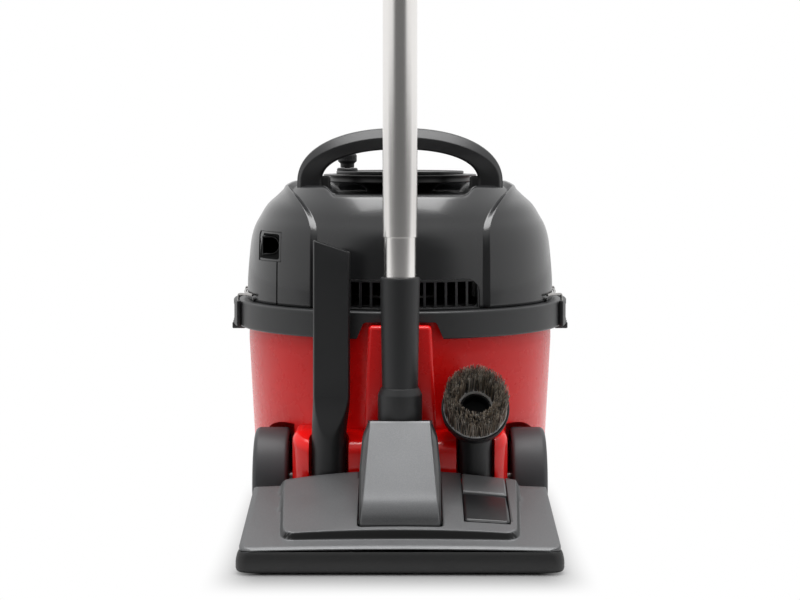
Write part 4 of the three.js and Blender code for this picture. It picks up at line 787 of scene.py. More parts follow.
# The cable outlet: a cup in the left shoulder, open to the side, with a D-shaped collar in its floor.
def makeOutlet():
    s = domeSizes
    x, z, face = s["outletX"], s["outletZ"], s["outletFace"]
    a, b = s["outletHalf"]
    cup = drawn("cableOutlet", boxLine((x - a, z - b), (x + a, z + b), 1.5, 5), -300, face + 9, "y")
    line = [(0, s["foot"])] + [(p[0] - 0.5, s["foot"] + p[1]) for p in domeLine] + [(0, s["foot"] + 121)]
    keepIn(cup, spun("cupEdge", line, 192))
    room = rounded([(-400, z - b + 2), (x + a - 2, z - b + 2, 2.5), (x + a - 2, z + b - 2, 2.5),
                    (-400, z + b - 2)], 6, loop=True)
    carve(cup, drawn("cupRoom", room, -300, face, "y"))
    edge = [(x - 9.6, z - 10.3), *arcPoints(x - 0.5, z, 10.3, -90, 90, 20), (x - 9.6, z + 10.3)]
    joinUp(cup, eased(drawn("collar", edge, face - 1.2, face + 2, "y"), 0.5, 3, 60))
    hole = [(x - 8.5, z - 8.5), *arcPoints(x - 0.5, z, 8.5, -90, 90, 20), (x - 8.5, z + 8.5)]
    carve(cup, drawn("dHole", hole, face - 5, face + 20, "y"))
    place(cup, "power_head", finishes["headBlack"], "black_plastic", "cable_outlet")


# The power switch, with its edge rolled over in steps of (depth under its top, shrink).
switchSizes = {"centre": (99, 25), "half": (7.5, 12), "corner": 2.5, "top": 353,
               "steps": [(11.2, 0), (1.5, 0), (0.8, 0.15), (0.3, 0.6), (0, 1.4)]}


def makeSwitch():
    s = switchSizes
    x, y = s["centre"]
    a, b = s["half"]
    edge = boxLine((x - a, y - b), (x + a, y + b), s["corner"], 6)
    rows = []
    for deep, shrink in s["steps"]:
        k = 1 - shrink / 8
        rows.append([(x + (px - x) * k, y + (py - y) * k, s["top"] - deep) for px, py in edge])
    button = skinned("powerSwitch", rows)
    dish = rounded([(0, 352.4), (3, 352.5, 3), (6.2, 353.5), (0, 353.5)], 5)
    carve(button, spun("dish", dish, 48, (x, y)))
    place(button, "switch", finishes["switchRed"], "switch_red", "power_switch")


makeDome()
makeGrille()
makeOutlet()
print("dome done")


# The carry handle: an arch whose rear side slopes in from its outer edge.
handleSizes = {"y": -50, "half": 14, "outer": 109, "outerFoot": 350, "outerRise": 57.8, "inner": 82,
               "innerFoot": 352, "innerRise": 32.4, "foot": 338.3, "thick": 24, "fullness": 0.9, "split": 0.43,
               "footSplit": 0.14}


def makeHandle():
    s = handleSizes
    deep, low, high = s["half"], s["footSplit"], s["split"]

    # A section's points as (share of the way from the outer curve to the inner, depth). The slope ends at the
    # split, and the side under it stands back further up the arch.
    def section(split):
        back = -deep * (0.35 + 0.65 * (split - low) / (high - low))
        corners = [(0.0, 1, 3), (0.02, deep, 4.5), (0.96, deep, 3.5), (0.98, back, 3), (split, back, 2),
                   (0.03, back + 11 * (0.3 + 1.4 * split), 1.5 + 5 * split)]
        line = rounded([(share * s["thick"], y, r) for share, y, r in corners], 5, loop=True)
        return [(a / s["thick"], b) for a, b in line]

    def ring(outer, inner, split):
        return [(outer[0] + (inner[0] - outer[0]) * f, s["y"] + b, outer[1] + (inner[1] - outer[1]) * f)
                for f, b in section(split)]

    def footRing(side, z):
        return ring((side * s["outer"], z), (side * s["inner"], z), low)

    rows = [footRing(1, s["foot"]), footRing(1, s["foot"] + 6)]
    steps = 72
    for i in range(steps + 1):
        t = math.pi * i / steps
        # a little fuller than an ellipse at its shoulders
        across = math.copysign(abs(math.cos(t)) ** s["fullness"], math.cos(t))
        up = math.sin(t) ** s["fullness"] if 0 < i < steps else 0
        rows.append(ring((s["outer"] * across, s["outerFoot"] + s["outerRise"] * up),
                         (s["inner"] * across, s["innerFoot"] + s["innerRise"] * up),
                         low + (high - low) * softStep(math.sin(t) * 1.1)))
    rows += [footRing(-1, s["foot"] + 6), footRing(-1, s["foot"])]
    handle = skinned("carryHandle", rows)
    for side in (-1, 1):
        xs = sorted((side * 74, side * 86))
        gusset = block("gusset", (xs[0], s["y"] - 3, s["foot"]), (xs[1], s["y"] + 12, 357))
        joinUp(handle, eased(gusset, 2.5, 4))
    place(handle, "power_head", finishes["handleBlack"], "head_black", "carry_handle", crease=40)


# The cable winder: its turret, the crank disc with its knob, and the reel under the dome.
winderSizes = {"centre": (0, 25), "floor": 338.3, "plateLow": 349, "plateRadius": 79.3, "plateTop": 357.5,
               "rim": 84, "crank": 70, "crankLow": 357.8, "crankTop": 361.2, "orbit": 58, "knobLow": 364.7,
               "knobTop": 380, "grooves": 16, "reelLow": 292, "reelTop": 326}


def makeWinder():
    s = winderSizes
    c = s["centre"]
    low, plate, top = s["floor"], s["plateLow"], s["plateTop"]
    line = closedLine([(8.3, low), (36, low), (36.6, low + 1.6, 2), (38, low + 4), (45, plate - 2.6, 9),
                       (58, plate, 12), (s["plateRadius"], plate, 1.2), (s["plateRadius"] - 2.4, top - 1.6, 0.5),
                       (s["rim"], top - 1.6, 0.6), (s["rim"], top, 0.8), (72.5, top), (72.2, top - 0.8),
                       (8.3, top - 0.8)], 6)
    housing = spun("winderHousing", line, 180, c)
    place(housing, "power_head", finishes["turretBlack"], "head_black", "winder_housing")
    low, top = s["crankLow"], s["crankTop"]
    disc = rounded([(0, 326.3), (8, 326.3), (8, low + 0.2), (66, low + 0.2), (s["crank"], low + 0.2, 0.8),
                    (s["crank"], top, 1.1), (64, top, 1.5), (62.5, top - 0.9, 1), (14, top - 0.9, 1),
                    (12.5, top, 1), (0, top)], 5)
    crank = spun("winderCrank", disc, 180, c)
    at = (-s["orbit"], c[1])
    boss = rounded([(0, low + 1), (11.5, low + 1), (11.5, top + 1.8, 0.8), (10.4, top + 3.2, 1), (0, top + 3.2)], 5)
    joinUp(crank, spun("boss", boss, 64, at))
    joinUp(crank, spun("pin", [(0, low + 1), (3, low + 1), (3, 375.6), (2.6, 376), (0, 376)], 32, at))
    place(crank, "winder", finishes["handleBlack"], "head_black", "winder_crank")
    low, top = s["knobLow"], s["knobTop"]
    shape = closedLine([(3.3, low), (7.5, low, 0.5), (7.7, low + 4.6, 1.5), (10.4, low + 7, 1.2), (10.5, top, 2.4),
                        (3, top, 1), (0.01, top - 0.4), (0.01, top - 3.7), (3.3, top - 3.7)], 6)
    knob = spun("winderKnob", shape, 96, at)
    groove = [(0, low + 8.5), (0.8, low + 8.8), (0.8, top - 2.6), (0, top - 2.2)]
    for k in range(s["grooves"]):
        a = 2 * math.pi * k / s["grooves"]
        carve(knob, spun("groove", groove, 12, (at[0] + 10.75 * math.cos(a), at[1] + 10.75 * math.sin(a))))
    place(knob, "winder_knob_body", finishes["black"], "black_plastic", "winder_knob")
    low, top = s["reelLow"], s["reelTop"]
    reel = closedLine([(6.3, low), (70, low, 0.8), (70, low + 2.5, 0.8), (34, low + 2.5, 1), (34, top - 2.5, 1),
                       (70, top - 2.5, 0.8), (70, top, 0.8), (6.3, top)], 3)
    place(spun("cableReel", reel, 128, c), "winder", finishes["inner"], "black_plastic", "cable_reel")


makeHandle()
makeWinder()
makeSwitch()
print("handle and winder done")


# The motor in its housing with a fan below it, the deck that carries them, and the reel's stand.
motorSizes = {"deckLow": 224.8, "deckTop": 228.8, "mouth": 66.4, "deckRadius": 153.4, "ribs": 12,
              "low": 192, "flange": 74, "can": 45, "canTop": 280, "fan": 56, "standLow": 287.7,
              "legs": (90, 210, 330), "legOrbit": 92, "standY": 25}


def makeMotor():
    s = motorSizes
    low, top, mouth, rim = s["deckLow"], s["deckTop"], s["mouth"], s["deckRadius"]
    deck = spun("motorDeck", closedLine([(mouth, low), (rim, low, 0.5), (rim, top, 0.8), (mouth, top)]), 128)
    for k in range(s["ribs"]):
        rib = block("rib", (80, -1, low + 0.1), (150, 1, low + 1.7))
        carve(deck, moved(rib, Matrix.Rotation(math.radians(360 / s["ribs"] * (k + 0.5)), 4, "Z")))
    place(deck, "power_head", finishes["inner"], "black_plastic", "motor_deck")
    flange, can, canTop = s["flange"], s["can"], s["canTop"]
    line = closedLine([(22, s["low"]), (66, s["low"], 3), (66, 229.1, 0.5), (flange, 229.1, 0.5),
                       (flange, 232.1, 1), (66, 234.1, 2), (can, 241.1, 6), (can, canTop, 4), (5.4, canTop),
                       (5.4, 207), (58, 207), (58, 196), (22, 196)], 5)
    place(spun("motorHousing", line, 128), "power_head", finishes["plated"], "steel_inner", "motor_housing")
    line = rounded([(0, 198), (20, 198, 2), (s["fan"], 198.4, 0.5), (s["fan"], 199.3, 0.3), (22, 199.3),
                    (18, 204, 3), (5, 205.2, 2), (5, 275), (0, 275)], 4)
    place(spun("motorFan", line, 96), "fan", finishes["plated"], "steel_inner", "motor_fan")
    low, y = s["standLow"], s["standY"]
    line = rounded([(0, low), (40, low, 0.5), (40, low + 4, 1), (6.5, low + 4), (6, low + 4), (6, 311.6, 0.6),
                    (0, 312)], 4)
    stand = spun("reelStand", line, 96, (0, y))
    leg = rounded([(0, 229.1), (6, 229.1, 0.6), (6, 291.5, 1), (0, 291.5)], 3)
    for angle in s["legs"]:
        a = math.radians(angle)
        at = Vector((s["legOrbit"] * math.cos(a), s["legOrbit"] * math.sin(a)))
        joinUp(stand, spun("leg", leg, 32, at))
        middle = Vector((0, y))
        aside = (at - middle).orthogonal().normalized() * 2.8
        arm = [at + aside, middle + aside, middle - aside, at - aside]
        joinUp(stand, drawn("arm", arm, 286.2, 291.2))
    place(stand, "power_head", finishes["plated"], "steel_inner", "reel_stand")


makeMotor()
print("motor done")


# The side clips, bent to the band's curve, and the wire bails that hook over the dome's foot.
clipSizes = {"inner": 175.6, "outer": 179.9, "low": 197.5, "top": 224.5, "half": 50, "eye": 1.3, "knuckle": 2.2,
             "wire": 1.25, "legRadius": 177.75, "legY": 15.4, "hookRadius": 167.8, "hookZ": 231.8}


def makeClip(name, side):
    s = clipSizes
    inner, outer = s["inner"], s["outer"]
    hingeX, hingeZ = rimSizes["hinge"]
    hinge = (side * hingeX, hingeZ)
    line = rounded([(inner, s["low"]), (outer, s["low"], 1.6), (outer, s["top"], 1.4), (inner, s["top"])], 5,
                   loop=True)
    reach = math.degrees(math.asin(s["half"] / hingeX))
    rows = []
    for i in range(41):
        a = math.radians(reach * (-1 + 2 * i / 40))
        rows.append([(side * r * math.cos(a), r * math.sin(a), z) for r, z in line])
    clip = eased(skinned("clip_" + name, rows), 0.8, 3, 50)
    grip = rounded([(outer - 0.9, 203), (outer + 4, 201), (outer + 4, 221), (outer - 0.9, 219)], 4, loop=True)
    finger = spun("finger", grip + [(outer - 0.9, 203)], 128)
    xs = sorted((0, side * 300))
    carve(clip, keepIn(finger, block("window", (xs[0], -30, 150), (xs[1], 30, 250))))
    knuckle = rod("knuckle", s["knuckle"], -20, 20, 32, hinge, "y")
    web = block("web", (side * hingeX - 1.6, -19.5, hingeZ + 0.5), (side * hingeX + 1.6, 19.5, hingeZ + 6))
    joinUp(clip, knuckle, web)
    for end in (-1, 1):
        carve(clip, rod("eye", s["eye"], *sorted((end * 15.9, end * 30)), 24, hinge, "y"))
    place(clip, f"clip_{name}_body", finishes["black"], "black_plastic", f"clip_{name}")

    leg, y, hook, high = s["legRadius"], s["legY"], s["hookRadius"], s["hookZ"]
    # one half as (radius, angle, height), from the leg's foot to the hook
    half = [(leg, y, 224.9), (leg, y, 230.6), (leg - 1.2, y, high), (hook + 2, 20, high), (hook, 23, high)]
    path = [(r, -angle, z) for r, angle, z in half]
    path += [(hook, -22 + 44 * i / 12, high) for i in range(13)] + half[::-1]
    points = []
    for r, angle, z in path:
        a = math.radians(angle)
        points.append(Vector((side * r * math.cos(a), r * math.sin(a), z)))
    wire = wireAlong("clipBail_" + name, softened(points, 2), s["wire"], 16)
    place(wire, f"clip_{name}_body", finishes["wireSteel"], "steel", f"clip_bail_{name}")


# Corners cut in two passes, so that a bent wire turns smoothly.
def softened(points, passes):
    for _ in range(passes):
        out = [points[0]]
        for a, b in zip(points, points[1:]):
            out += [a.lerp(b, 0.25), a.lerp(b, 0.75)]
        points = out + [points[-1]]
    return points


def wireAlong(name, points, radius, sides):
    rows = []
    side = None
    for i, p in enumerate(points):
        along = (points[min(i + 1, len(points) - 1)] - points[max(i - 1, 0)]).normalized()
        if side is None:
            side = along.orthogonal().normalized()
        side = (side - along * side.dot(along)).normalized()
        up = along.cross(side)
        rows.append([tuple(p + side * radius * math.cos(2 * math.pi * k / sides)
                           + up * radius * math.sin(2 * math.pi * k / sides)) for k in range(sides)])
    return skinned(name, rows)


for name, side in (("left", -1), ("right", 1)):
    makeClip(name, side)
print("clips done")


# The floor tool: a bumper, sole and chassis under a grey deck with a raised panel, and a foot pedal.
toolSizes = {"front": -323, "rear": -198, "frontHalf": 150, "rearHalf": 145, "corner": 11, "low": 1.5, "line": 22.6,
             "lineFall": 2.2, "flare": 2.5, "slotFront": -304, "slotRear": -295, "plateTop": 13, "deckFront": 24,
             "deckRear": 60.5, "panelFront": -306, "panelHalf": (110, 116), "panelCorner": 12, "riser": 3.4,
             "panelFrontTop": 36.8, "panelRearTop": 73.4, "panelCrown": (7, 16), "slotHalf": 39.5,
             "pivot": (-267, 32), "well": 27, "pedal": (60, 102), "pedalFront": -287, "pedalStep": -234,
             "pedalFloor": 34, "pedalRear": -200.2, "wheelX": 108}


# The sole's outline from above, as (x, y) pairs, shrunk by a margin.
def toolLine(shrink):
    s = toolSizes
    r = s["corner"]
    front, rear = s["front"] + shrink, s["rear"] - shrink
    half, back = s["frontHalf"] - shrink, s["rearHalf"] - shrink
    line = [*arcPoints(-half + r, front + r, r, 180, 270, 12), *arcPoints(half - r, front + r, r, 270, 360, 12)]
    return line + [(back, rear - 2), (back - 2, rear), (-back + 2, rear), (-back, rear - 2)]


# The line between the grey deck and the bumper falls towards both ends.
def lineHeight(x):
    return toolSizes["line"] - toolSizes["lineFall"] * (x / 150) ** 2


def deckHeight(x, y):
    s = toolSizes
    t = (y - s["front"]) / (s["rear"] - s["front"])
    return s["deckFront"] + (s["deckRear"] - s["deckFront"]) * t - (2 + 1.5 * t) * (x / 150) ** 2


# How far a place x off the middle lies under the panel's highest line, t of the way to its rear.
def panelFall(x, t):
    a, b = toolSizes["panelCrown"]
    return (a + (b - a) * t) * (x / 150) ** 2


def panelHeight(x, y):
    s = toolSizes
    t = (y - s["panelFront"]) / (s["rear"] - s["panelFront"])
    return s["panelFrontTop"] + (s["panelRearTop"] - s["panelFrontTop"]) * t - panelFall(x, t)


# How far a place lies inside the raised panel's rounded outline, in millimetres.
def insidePanel(x, y):
    s = toolSizes
    t = (y - s["panelFront"]) / (s["rear"] - s["panelFront"])
    half = s["panelHalf"][0] + (s["panelHalf"][1] - s["panelHalf"][0]) * t
    dx, dy = half - abs(x), y - s["panelFront"]
    r = s["panelCorner"]
    if dx < r and dy < r:
        return r - math.hypot(r - dx, r - dy)
    return min(dx, dy)


# Grid lines that crowd round the panel's edge.
def crowded(low, high, near, step, fine):
    out = [low]
    while out[-1] < high - 1e-6:
        here = out[-1]
        width = fine if any(abs(here - n) < 5.5 for n in near) else step
        out.append(min(here + width, high))
    return out


def makeDeck():
    s = toolSizes
    inset, r = s["flare"], s["corner"]
    front, rear = s["front"] + inset, s["rear"] - 0.6
    rows = []
    riserPaintedShade = []
    edges = crowded(-150, 150, [-113, 113], 3, 0.6)
    for y in crowded(front, rear, [s["panelFront"] + 1], 2.5, 0.6):
        t = (y - s["front"]) / (s["rear"] - s["front"])
        half = s["frontHalf"] + (s["rearHalf"] - s["frontHalf"]) * t - inset
        reach = y - front
        if reach < r:
            half -= r - math.sqrt(max(r ** 2 - (r - reach) ** 2, 0))
        row = []
        for e in edges:
            x = e * half / 150
            top = deckHeight(x, y)
            share = softRamp((insidePanel(x, y) + 0.4) / s["riser"], 0.22)
            top += max(panelHeight(x, y) - top, 0) * share
            edge = min(half - abs(x), reach + 0.6, rear - y + 0.4)
            top -= 1.6 * (1 - softStep(edge / 2.2)) ** 2
            row.append((x, y, max(top, lineHeight(x) + 0.5)))
            # painted shade for the panel's riser: full on the steep front riser, about half on its sides
            steep = 1 if y < s["panelFront"] + 5 else 0.55
            riserPaintedShade.append(steep if 0.06 < share < 0.96 else 0)
        rows.append(row)
    deck = slab("toolDeck", rows, lambda x, y: lineHeight(x) + 0.3)
    # the riser's painted shade goes to the deck's finish as a colour per point
    layer = deck.data.color_attributes.new("riser", "FLOAT_COLOR", "POINT")
    for k, v in enumerate(riserPaintedShade + [0] * len(riserPaintedShade)):
        layer.data[k].color = (v, v, v, 1)
    half = s["slotHalf"]
    outline = rounded([(-half, -298.7, 4), (half, -298.7, 4), (half, -100), (-half, -100)], 6, loop=True)
    carve(deck, drawn("neckRoom", outline, 0, 200))
    a, b = s["pedal"]
    front = s["pedalFront"] - 1.2
    outline = rounded([(a - 0.7, front, 2.5), (b + 0.7, front, 2.5), (b + 0.7, -100), (a - 0.7, -100)], 6,
                      loop=True)
    carve(deck, drawn("pedalRoom", outline, s["pedalFloor"], 200))
    place(deck, "floor_tool", finishes["toolGrey"], "tool_grey", "tool_deck")


def makeSole():
    s = toolSizes
    top, low, half = s["line"], s["low"], s["slotHalf"]
    pivotY, pivotZ = s["pivot"]

    # The shell's rings follow the deck's line more closely the higher they are.
    def ring(shrink, z, share=0.0):
        return [(x, y, z + (lineHeight(x) - s["line"]) * share) for x, y in toolLine(shrink)]

    rows = [ring(3.2, low), ring(1.6, low + 0.5), ring(0.6, low + 1.7), ring(0, low + 4), ring(0, 11),
            ring(0.3, top - 8, 0.4), ring(1.0, top - 4, 0.8), ring(1.6, top - 1.6, 1), ring(2.3, top - 0.4, 1),
            ring(3.2, top, 1)]
    whole = skinned("toolShell", rows)

    def part(name, low, high):
        piece = whole.copy()
        piece.data = whole.data.copy()
        piece.name = name
        bpy.context.scene.collection.objects.link(piece)
        return keepIn(piece, block("part", low, high))

    def neckRoom():
        return [rod("well", s["well"], -half, half, 72, s["pivot"], "x"),
                block("neckWay", (-half, pivotY, pivotZ - s["well"]), (half, 300, 300)),
                block("neckFront", (-half, -298.7, 22), (half, pivotY + 1, 300))]

    def wheelRoom(side):
        x = side * s["wheelX"]
        return [block("wheelRoom", (x - 6, -224, -1), (x + 6, -204, 19.5)),
                block("axleRoom", (x - 10, -216.3, -1), (x + 10, -211.7, 11.3))]

    def groove(low, high, at):
        return block("groove", (low - 0.3, at - 2.3, -1), (high + 0.3, at + 2.3, s["plateTop"] + 0.3))

    bumper = part("toolBumper", (-400, -400, -10), (400, s["slotFront"], 100))
    carve(bumper, groove(*stripSizes["front"]))
    place(bumper, "floor_tool", finishes["bumperBlack"], "black_plastic", "tool_bumper")
    sole = part("toolSole", (-400, s["slotRear"], -10), (400, 400, s["plateTop"]))
    throat = block("throat", (-26, s["slotRear"] - 1, -1), (26, -255, 50))
    carve(sole, *neckRoom(), throat, groove(*stripSizes["rear_left"]), groove(*stripSizes["rear_right"]),
          *wheelRoom(-1), *wheelRoom(1))
    place(sole, "floor_tool", finishes["bumperBlack"], "black_plastic", "tool_sole")
    chassis = part("toolChassis", (-400, s["slotFront"] + 0.3, s["plateTop"] + 0.3), (400, 400, 100))
    carve(chassis, *neckRoom(), *wheelRoom(-1), *wheelRoom(1))
    place(chassis, "floor_tool", finishes["bumperBlack"], "black_plastic", "tool_chassis")
    bpy.data.objects.remove(whole)


# The pedal: a dark pad in front of a pale, higher one, joined by a heel under their step.
def makePedal():
    s = toolSizes
    a, b = s["pedal"][0] + 0.1, s["pedal"][1] - 0.1
    front, step, rear, low = s["pedalFront"], s["pedalStep"], s["pedalRear"], s["pedalFloor"]

    # A pad is a grid over its own outline, rounded down at its edges by roll.
    def pad(name, yLow, yHigh, height, foot, roll, corner):
        rows = []
        for y in crowded(yLow, yHigh, [yLow, yHigh], 2.5, 0.5):
            along = max(corner - (y - yLow), 0)
            pull = corner - math.sqrt(max(corner ** 2 - along * along, 0))
            row = []
            for x in crowded(a, b, [a, b], 3, 0.5):
                px = a + pull + (b - a - 2 * pull) * ((x - a) / (b - a))
                edge = min(px - a - pull, b - pull - px, y - yLow, yHigh - y)
                fall = panelFall(px, (y - s["panelFront"]) / (s["rear"] - s["panelFront"]))
                row.append((px, y, height(y) - fall - roll * (1 - softStep(edge / (roll * 2))) ** 2))
            rows.append(row)
        return slab(name, rows, foot)

    def frontTop(y):
        t = (y - front) / (step - 1.2 - front)
        return 44.4 + 15.2 * t + 0.9 * math.sin(math.pi * t)

    def rearTop(y):
        t = (y - step) / (rear - step)
        return 61.5 + (s["panelRearTop"] - 1 - 61.5) * t + 0.9 * math.sin(math.pi * t)

    def frontFoot(x, y):
        return low + 2.4 + 1.4 * (y - front) / 52

    def rearFoot(x, y):
        return low + 3.6 + 6 * (y - step) / 36

    darkPad = pad("pedalFront", front, step - 1.2, frontTop, frontFoot, 1.2, 4)
    place(darkPad, "pedal", finishes["glossBlack"], "black_plastic", "tool_pedal")
    palePad = pad("pedalRear", step - 0.2, rear, rearTop, rearFoot, 1.0, 0)
    place(palePad, "pedal", finishes["pedalGrey"], "black_plastic")
    outline = [(step - 3, low + 1.6), (step, low + 0.3), (step + 3, low + 1.6), (step + 3, 54), (step - 3, 50)]
    heel = eased(drawn("pedalHeel", outline, a + 1, b - 1, "x"), 0.4)
    place(heel, "pedal", finishes["glossBlack"], "black_plastic")


def makeToolWheels():
    line = rounded([(0, -9), (2, -9, 0.4), (2, -5), (8.2, -5, 0.8), (9, -4.2, 0.8), (9, 4.2, 0.8), (8.2, 5, 0.8),
                    (2, 5), (2, 9, 0.4), (0, 9)], 4)
    for name, side in (("left", -1), ("right", 1)):
        x = side * toolSizes["wheelX"]
        wheel = spun("toolWheel_" + name, [(r, x + h) for r, h in line], 64, (-214, 9), "x")
        place(wheel, f"tool_wheel_{name}_body", finishes["rubber"], "rubber", f"tool_wheel_{name}")


# Adds one strand of hair: rings of points from its root to its tip, which is closed.
def addStrand(points, faces, rings):
    sides = len(rings[0])
    for level, ring in enumerate(rings):
        first = len(points)
        points += ring
        if level:
            for k in range(sides):
                n = (k + 1) % sides
                faces.append((first - sides + k, first - sides + n, first + n, first + k))
    faces.append(tuple(range(len(points) - 1, len(points) - 1 - sides, -1)))


# Joins meshes as they are, with no boolean.
def merged(name, parts):
    made = bmesh.new()
    for part in parts:
        made.from_mesh(part.data)
    mesh = bpy.data.meshes.new(name)
    made.to_mesh(mesh)
    made.free()
    obj = bpy.data.objects.new(name, mesh)
    bpy.context.scene.collection.objects.link(obj)
    for part in parts:
        bpy.data.objects.remove(part)
    return obj


# Gives each strand, from its first point to its last, its own tint.
def tintHair(obj, tints):
    layer = obj.data.color_attributes.new("strand", "FLOAT_COLOR", "POINT")
    for first, last, tint in tints:
        for k in range(first, last):
            layer.data[k].color = (*tint, 1)


# Bristle strips: a backing bar with three rows of short tufts. Each has its left and right end, and its y.
stripSizes = {"front": (-128, 128, -311), "rear_left": (-128, -43.5, -255), "rear_right": (43.5, 128, -255),
              "root": 11, "length": 5.9, "thick": 0.34, "pitch": 1.15, "rows": (-1.1, 0, 1.1),
              "tints": [(0.012, 0.01, 0.009), (0.03, 0.024, 0.02), (0.05, 0.035, 0.024), (0.02, 0.02, 0.021)]}


def makeStrip(name):
    s = stripSizes
    low, high, y = s[name]
    pen = random.Random(len(name))
    points, faces, tints = [], [], []

    def hairAt(x, y, leanX, leanY, length):
        tint = pen.choice(s["tints"])
        first = len(points)
        rings = []
        for level in range(3):
            t = level / 2
            r = s["thick"] * (1 - 0.5 * t)
            cx, cy, z = x + leanX * t * t, y + leanY * t * t, s["root"] - length * t
            corners = [math.pi / 2 * k for k in range(4)]
            rings.append([(cx + r * math.cos(a), cy + r * math.sin(a), z) for a in corners])
        addStrand(points, faces, rings)
        tints.append((first, len(points), tint))

    x = low + 0.8
    while x < high - 0.6:
        for row in s["rows"]:
            hairAt(x + pen.uniform(-0.2, 0.2), y + row, pen.uniform(-0.5, 0.5), pen.uniform(-0.4, 0.4),
                   s["length"] - abs(pen.gauss(0, 0.15)))
        x += s["pitch"]
    hairs = toObject("hairs", points, faces)
    tintHair(hairs, tints)
    bar = block("stripBar", (low, y - 2, s["root"] - 1), (high, y + 2, s["root"] + 2))
    strip = merged("brushStrip_" + name, [hairs, bar])
    place(strip, f"strip_{name}_body", finishes["hair"], "hair", f"brush_strip_{name}")


makeSole()
makeDeck()
makePedal()
makeToolWheels()
for name in ("front", "rear_left", "rear_right"):
    makeStrip(name)
print("floor tool done")


# The neck that tilts in the tool, its grey cover, and the swivel collar and cuff that carry the wand.
neckSizes = {"pivot": (-267, 32), "drum": 26, "reach": 45.2, "noseHalf": 38.2, "topHalf": 31, "noseZ": 40,
             "topZ": 122, "cover": 3, "duct": 14, "axis": -200, "collar": 21.65, "collarLow": 122.3,
             "collarTop": 154, "cuffLow": 136.3, "cuffTop": 261, "cuffFoot": 17.6, "cuffWide": 19.4}

# Front line of the neck from its nose to its top, as (y, z).
neckLine = [(-295.5, 36), (-295.2, 43), (-292.9, 50), (-287.5, 58.5), (-278.5, 68), (-261.5, 86.1), (-243, 105.8),
            (-225, 125)]


# Half the width of the cover on the neck.
def neckHalf(z):
    s = neckSizes
    t = min(max((z - s["noseZ"]) / (s["topZ"] - s["noseZ"]), 0), 1)
    return s["noseHalf"] + (s["topHalf"] - s["noseHalf"]) * t


def makeNeck():
    s = neckSizes
    face = smoothLine(neckLine, 44)
    inward = []
    for i in range(len(face)):
        a, b = face[max(i - 1, 0)], face[min(i + 1, len(face) - 1)]
        along = Vector((b[0] - a[0], b[1] - a[1])).normalized()
        inward.append(Vector((along.y, -along.x)))
    rows = []
    for (y, z), n in zip(face, inward):
        half = neckHalf(z) - 1.2
        row = []
        for x, deep in rounded([(-half, s["cover"]), (-half, 0, 2.4), (half, 0, 2.4), (half, s["cover"])], 5):
            deep += 0.5 * (x / half) ** 2
            row.append((x, y + n.x * deep, z + n.y * deep))
        rows.append(row)
    cover = eased(skinned("neckCover", rows), 0.5, 2, 50)
    place(cover, "neck_body", finishes["coverGrey"], "cover_grey", "neck_cover")

    # The neck under the cover: sections at levels, flat in front and round behind.
    rows = []
    deep = s["cover"] + 0.5
    py, pz = s["pivot"]
    foot, back = py + s["drum"] - 2, s["axis"] + s["collar"] - 1
    for (y, z), n in list(zip(face, inward))[5:]:
        y, z = y + n.x * deep, z + n.y * deep
        if z > s["topZ"] - 0.5:
            break
        half = min(neckHalf(z) + 4 * softStep((s["topZ"] - z) / 15), s["noseHalf"])
        rear = foot + (back - foot) * (z - pz) / (s["topZ"] - pz)
        curve = min(s["collar"] - 1, half - 4)
        side = max(y + 4, rear - curve - 2)
        outline = rounded([(-half, y + 1.8), (-half + 1.6, y, 1.2), (half - 1.6, y, 1.2), (half, y + 1.8),
                           (half, side, 3)], 3)
        outline += arcPoints(0, rear - curve, curve, 0, 180, 20) + [(-half, side)]
        rows.append([(a, b, z) for a, b in outline])
    rows.append([(a, b, s["topZ"]) for a, b, z in rows[-1]])
    neck = skinned("neck", rows)
    wide, axis = s["noseHalf"], s["axis"]
    drum = rounded([(0, -wide), (s["drum"], -wide, 1.5), (s["drum"], wide, 1.5), (0, wide)], 4)
    joinUp(neck, spun("neckDrum", drum, 96, (py, pz), "x"),
           rod("trunnion", 6, -s["reach"], s["reach"], 48, (py, pz), "x"),
           rod("spigot", s["collar"] - 4.5, 118, 134, 64, (0, axis)))
    bends = [Vector((0, py, pz - 30)), Vector((0, py, pz)), Vector((0, axis, 112)), Vector((0, axis, 200))]
    carve(neck, wireAlong("duct", bends, s["duct"], 32))
    place(neck, "neck_body", finishes["cuffBlack"], "black_plastic", "neck")


def makeCuff():
    s = neckSizes
    at, r, low, top = (0, s["axis"]), s["collar"], s["collarLow"], s["collarTop"]
    line = closedLine([(r - 4.2, low), (r, low, 0.8), (r, top - 7, 3), (18.6, top - 0.8, 1.5), (17.9, top),
                       (17.9, 136), (r - 4.2, 135.7)], 6)
    place(spun("swivelCollar", line, 96, at), "swivel", finishes["cuffBlack"], "black_plastic", "swivel_collar")
    low, top, foot, wide = s["cuffLow"], s["cuffTop"], s["cuffFoot"], s["cuffWide"]
    line = closedLine([(14, low), (foot, low, 0.4), (foot, 156), (wide, top - 4, 60), (wide, top - 1.4),
                       (wide - 0.7, top, 0.9), (16.05, top, 0.5), (16.05, 214.7), (14, 214.7)], 6)
    place(spun("wandCuff", line, 128, at), "swivel", finishes["cuffBlack"], "black_plastic", "wand_cuff")


makeNeck()
makeCuff()
print("neck done")


# The wand: two steel sections, each with a narrow lower end that plugs into the piece below.
wandSizes = {"axis": -200, "low": 215, "narrow": 15.75, "radius": 17, "wall": 1.2, "shoulder": 300, "joint": 705,
             "overlap": 85, "top": 1110}


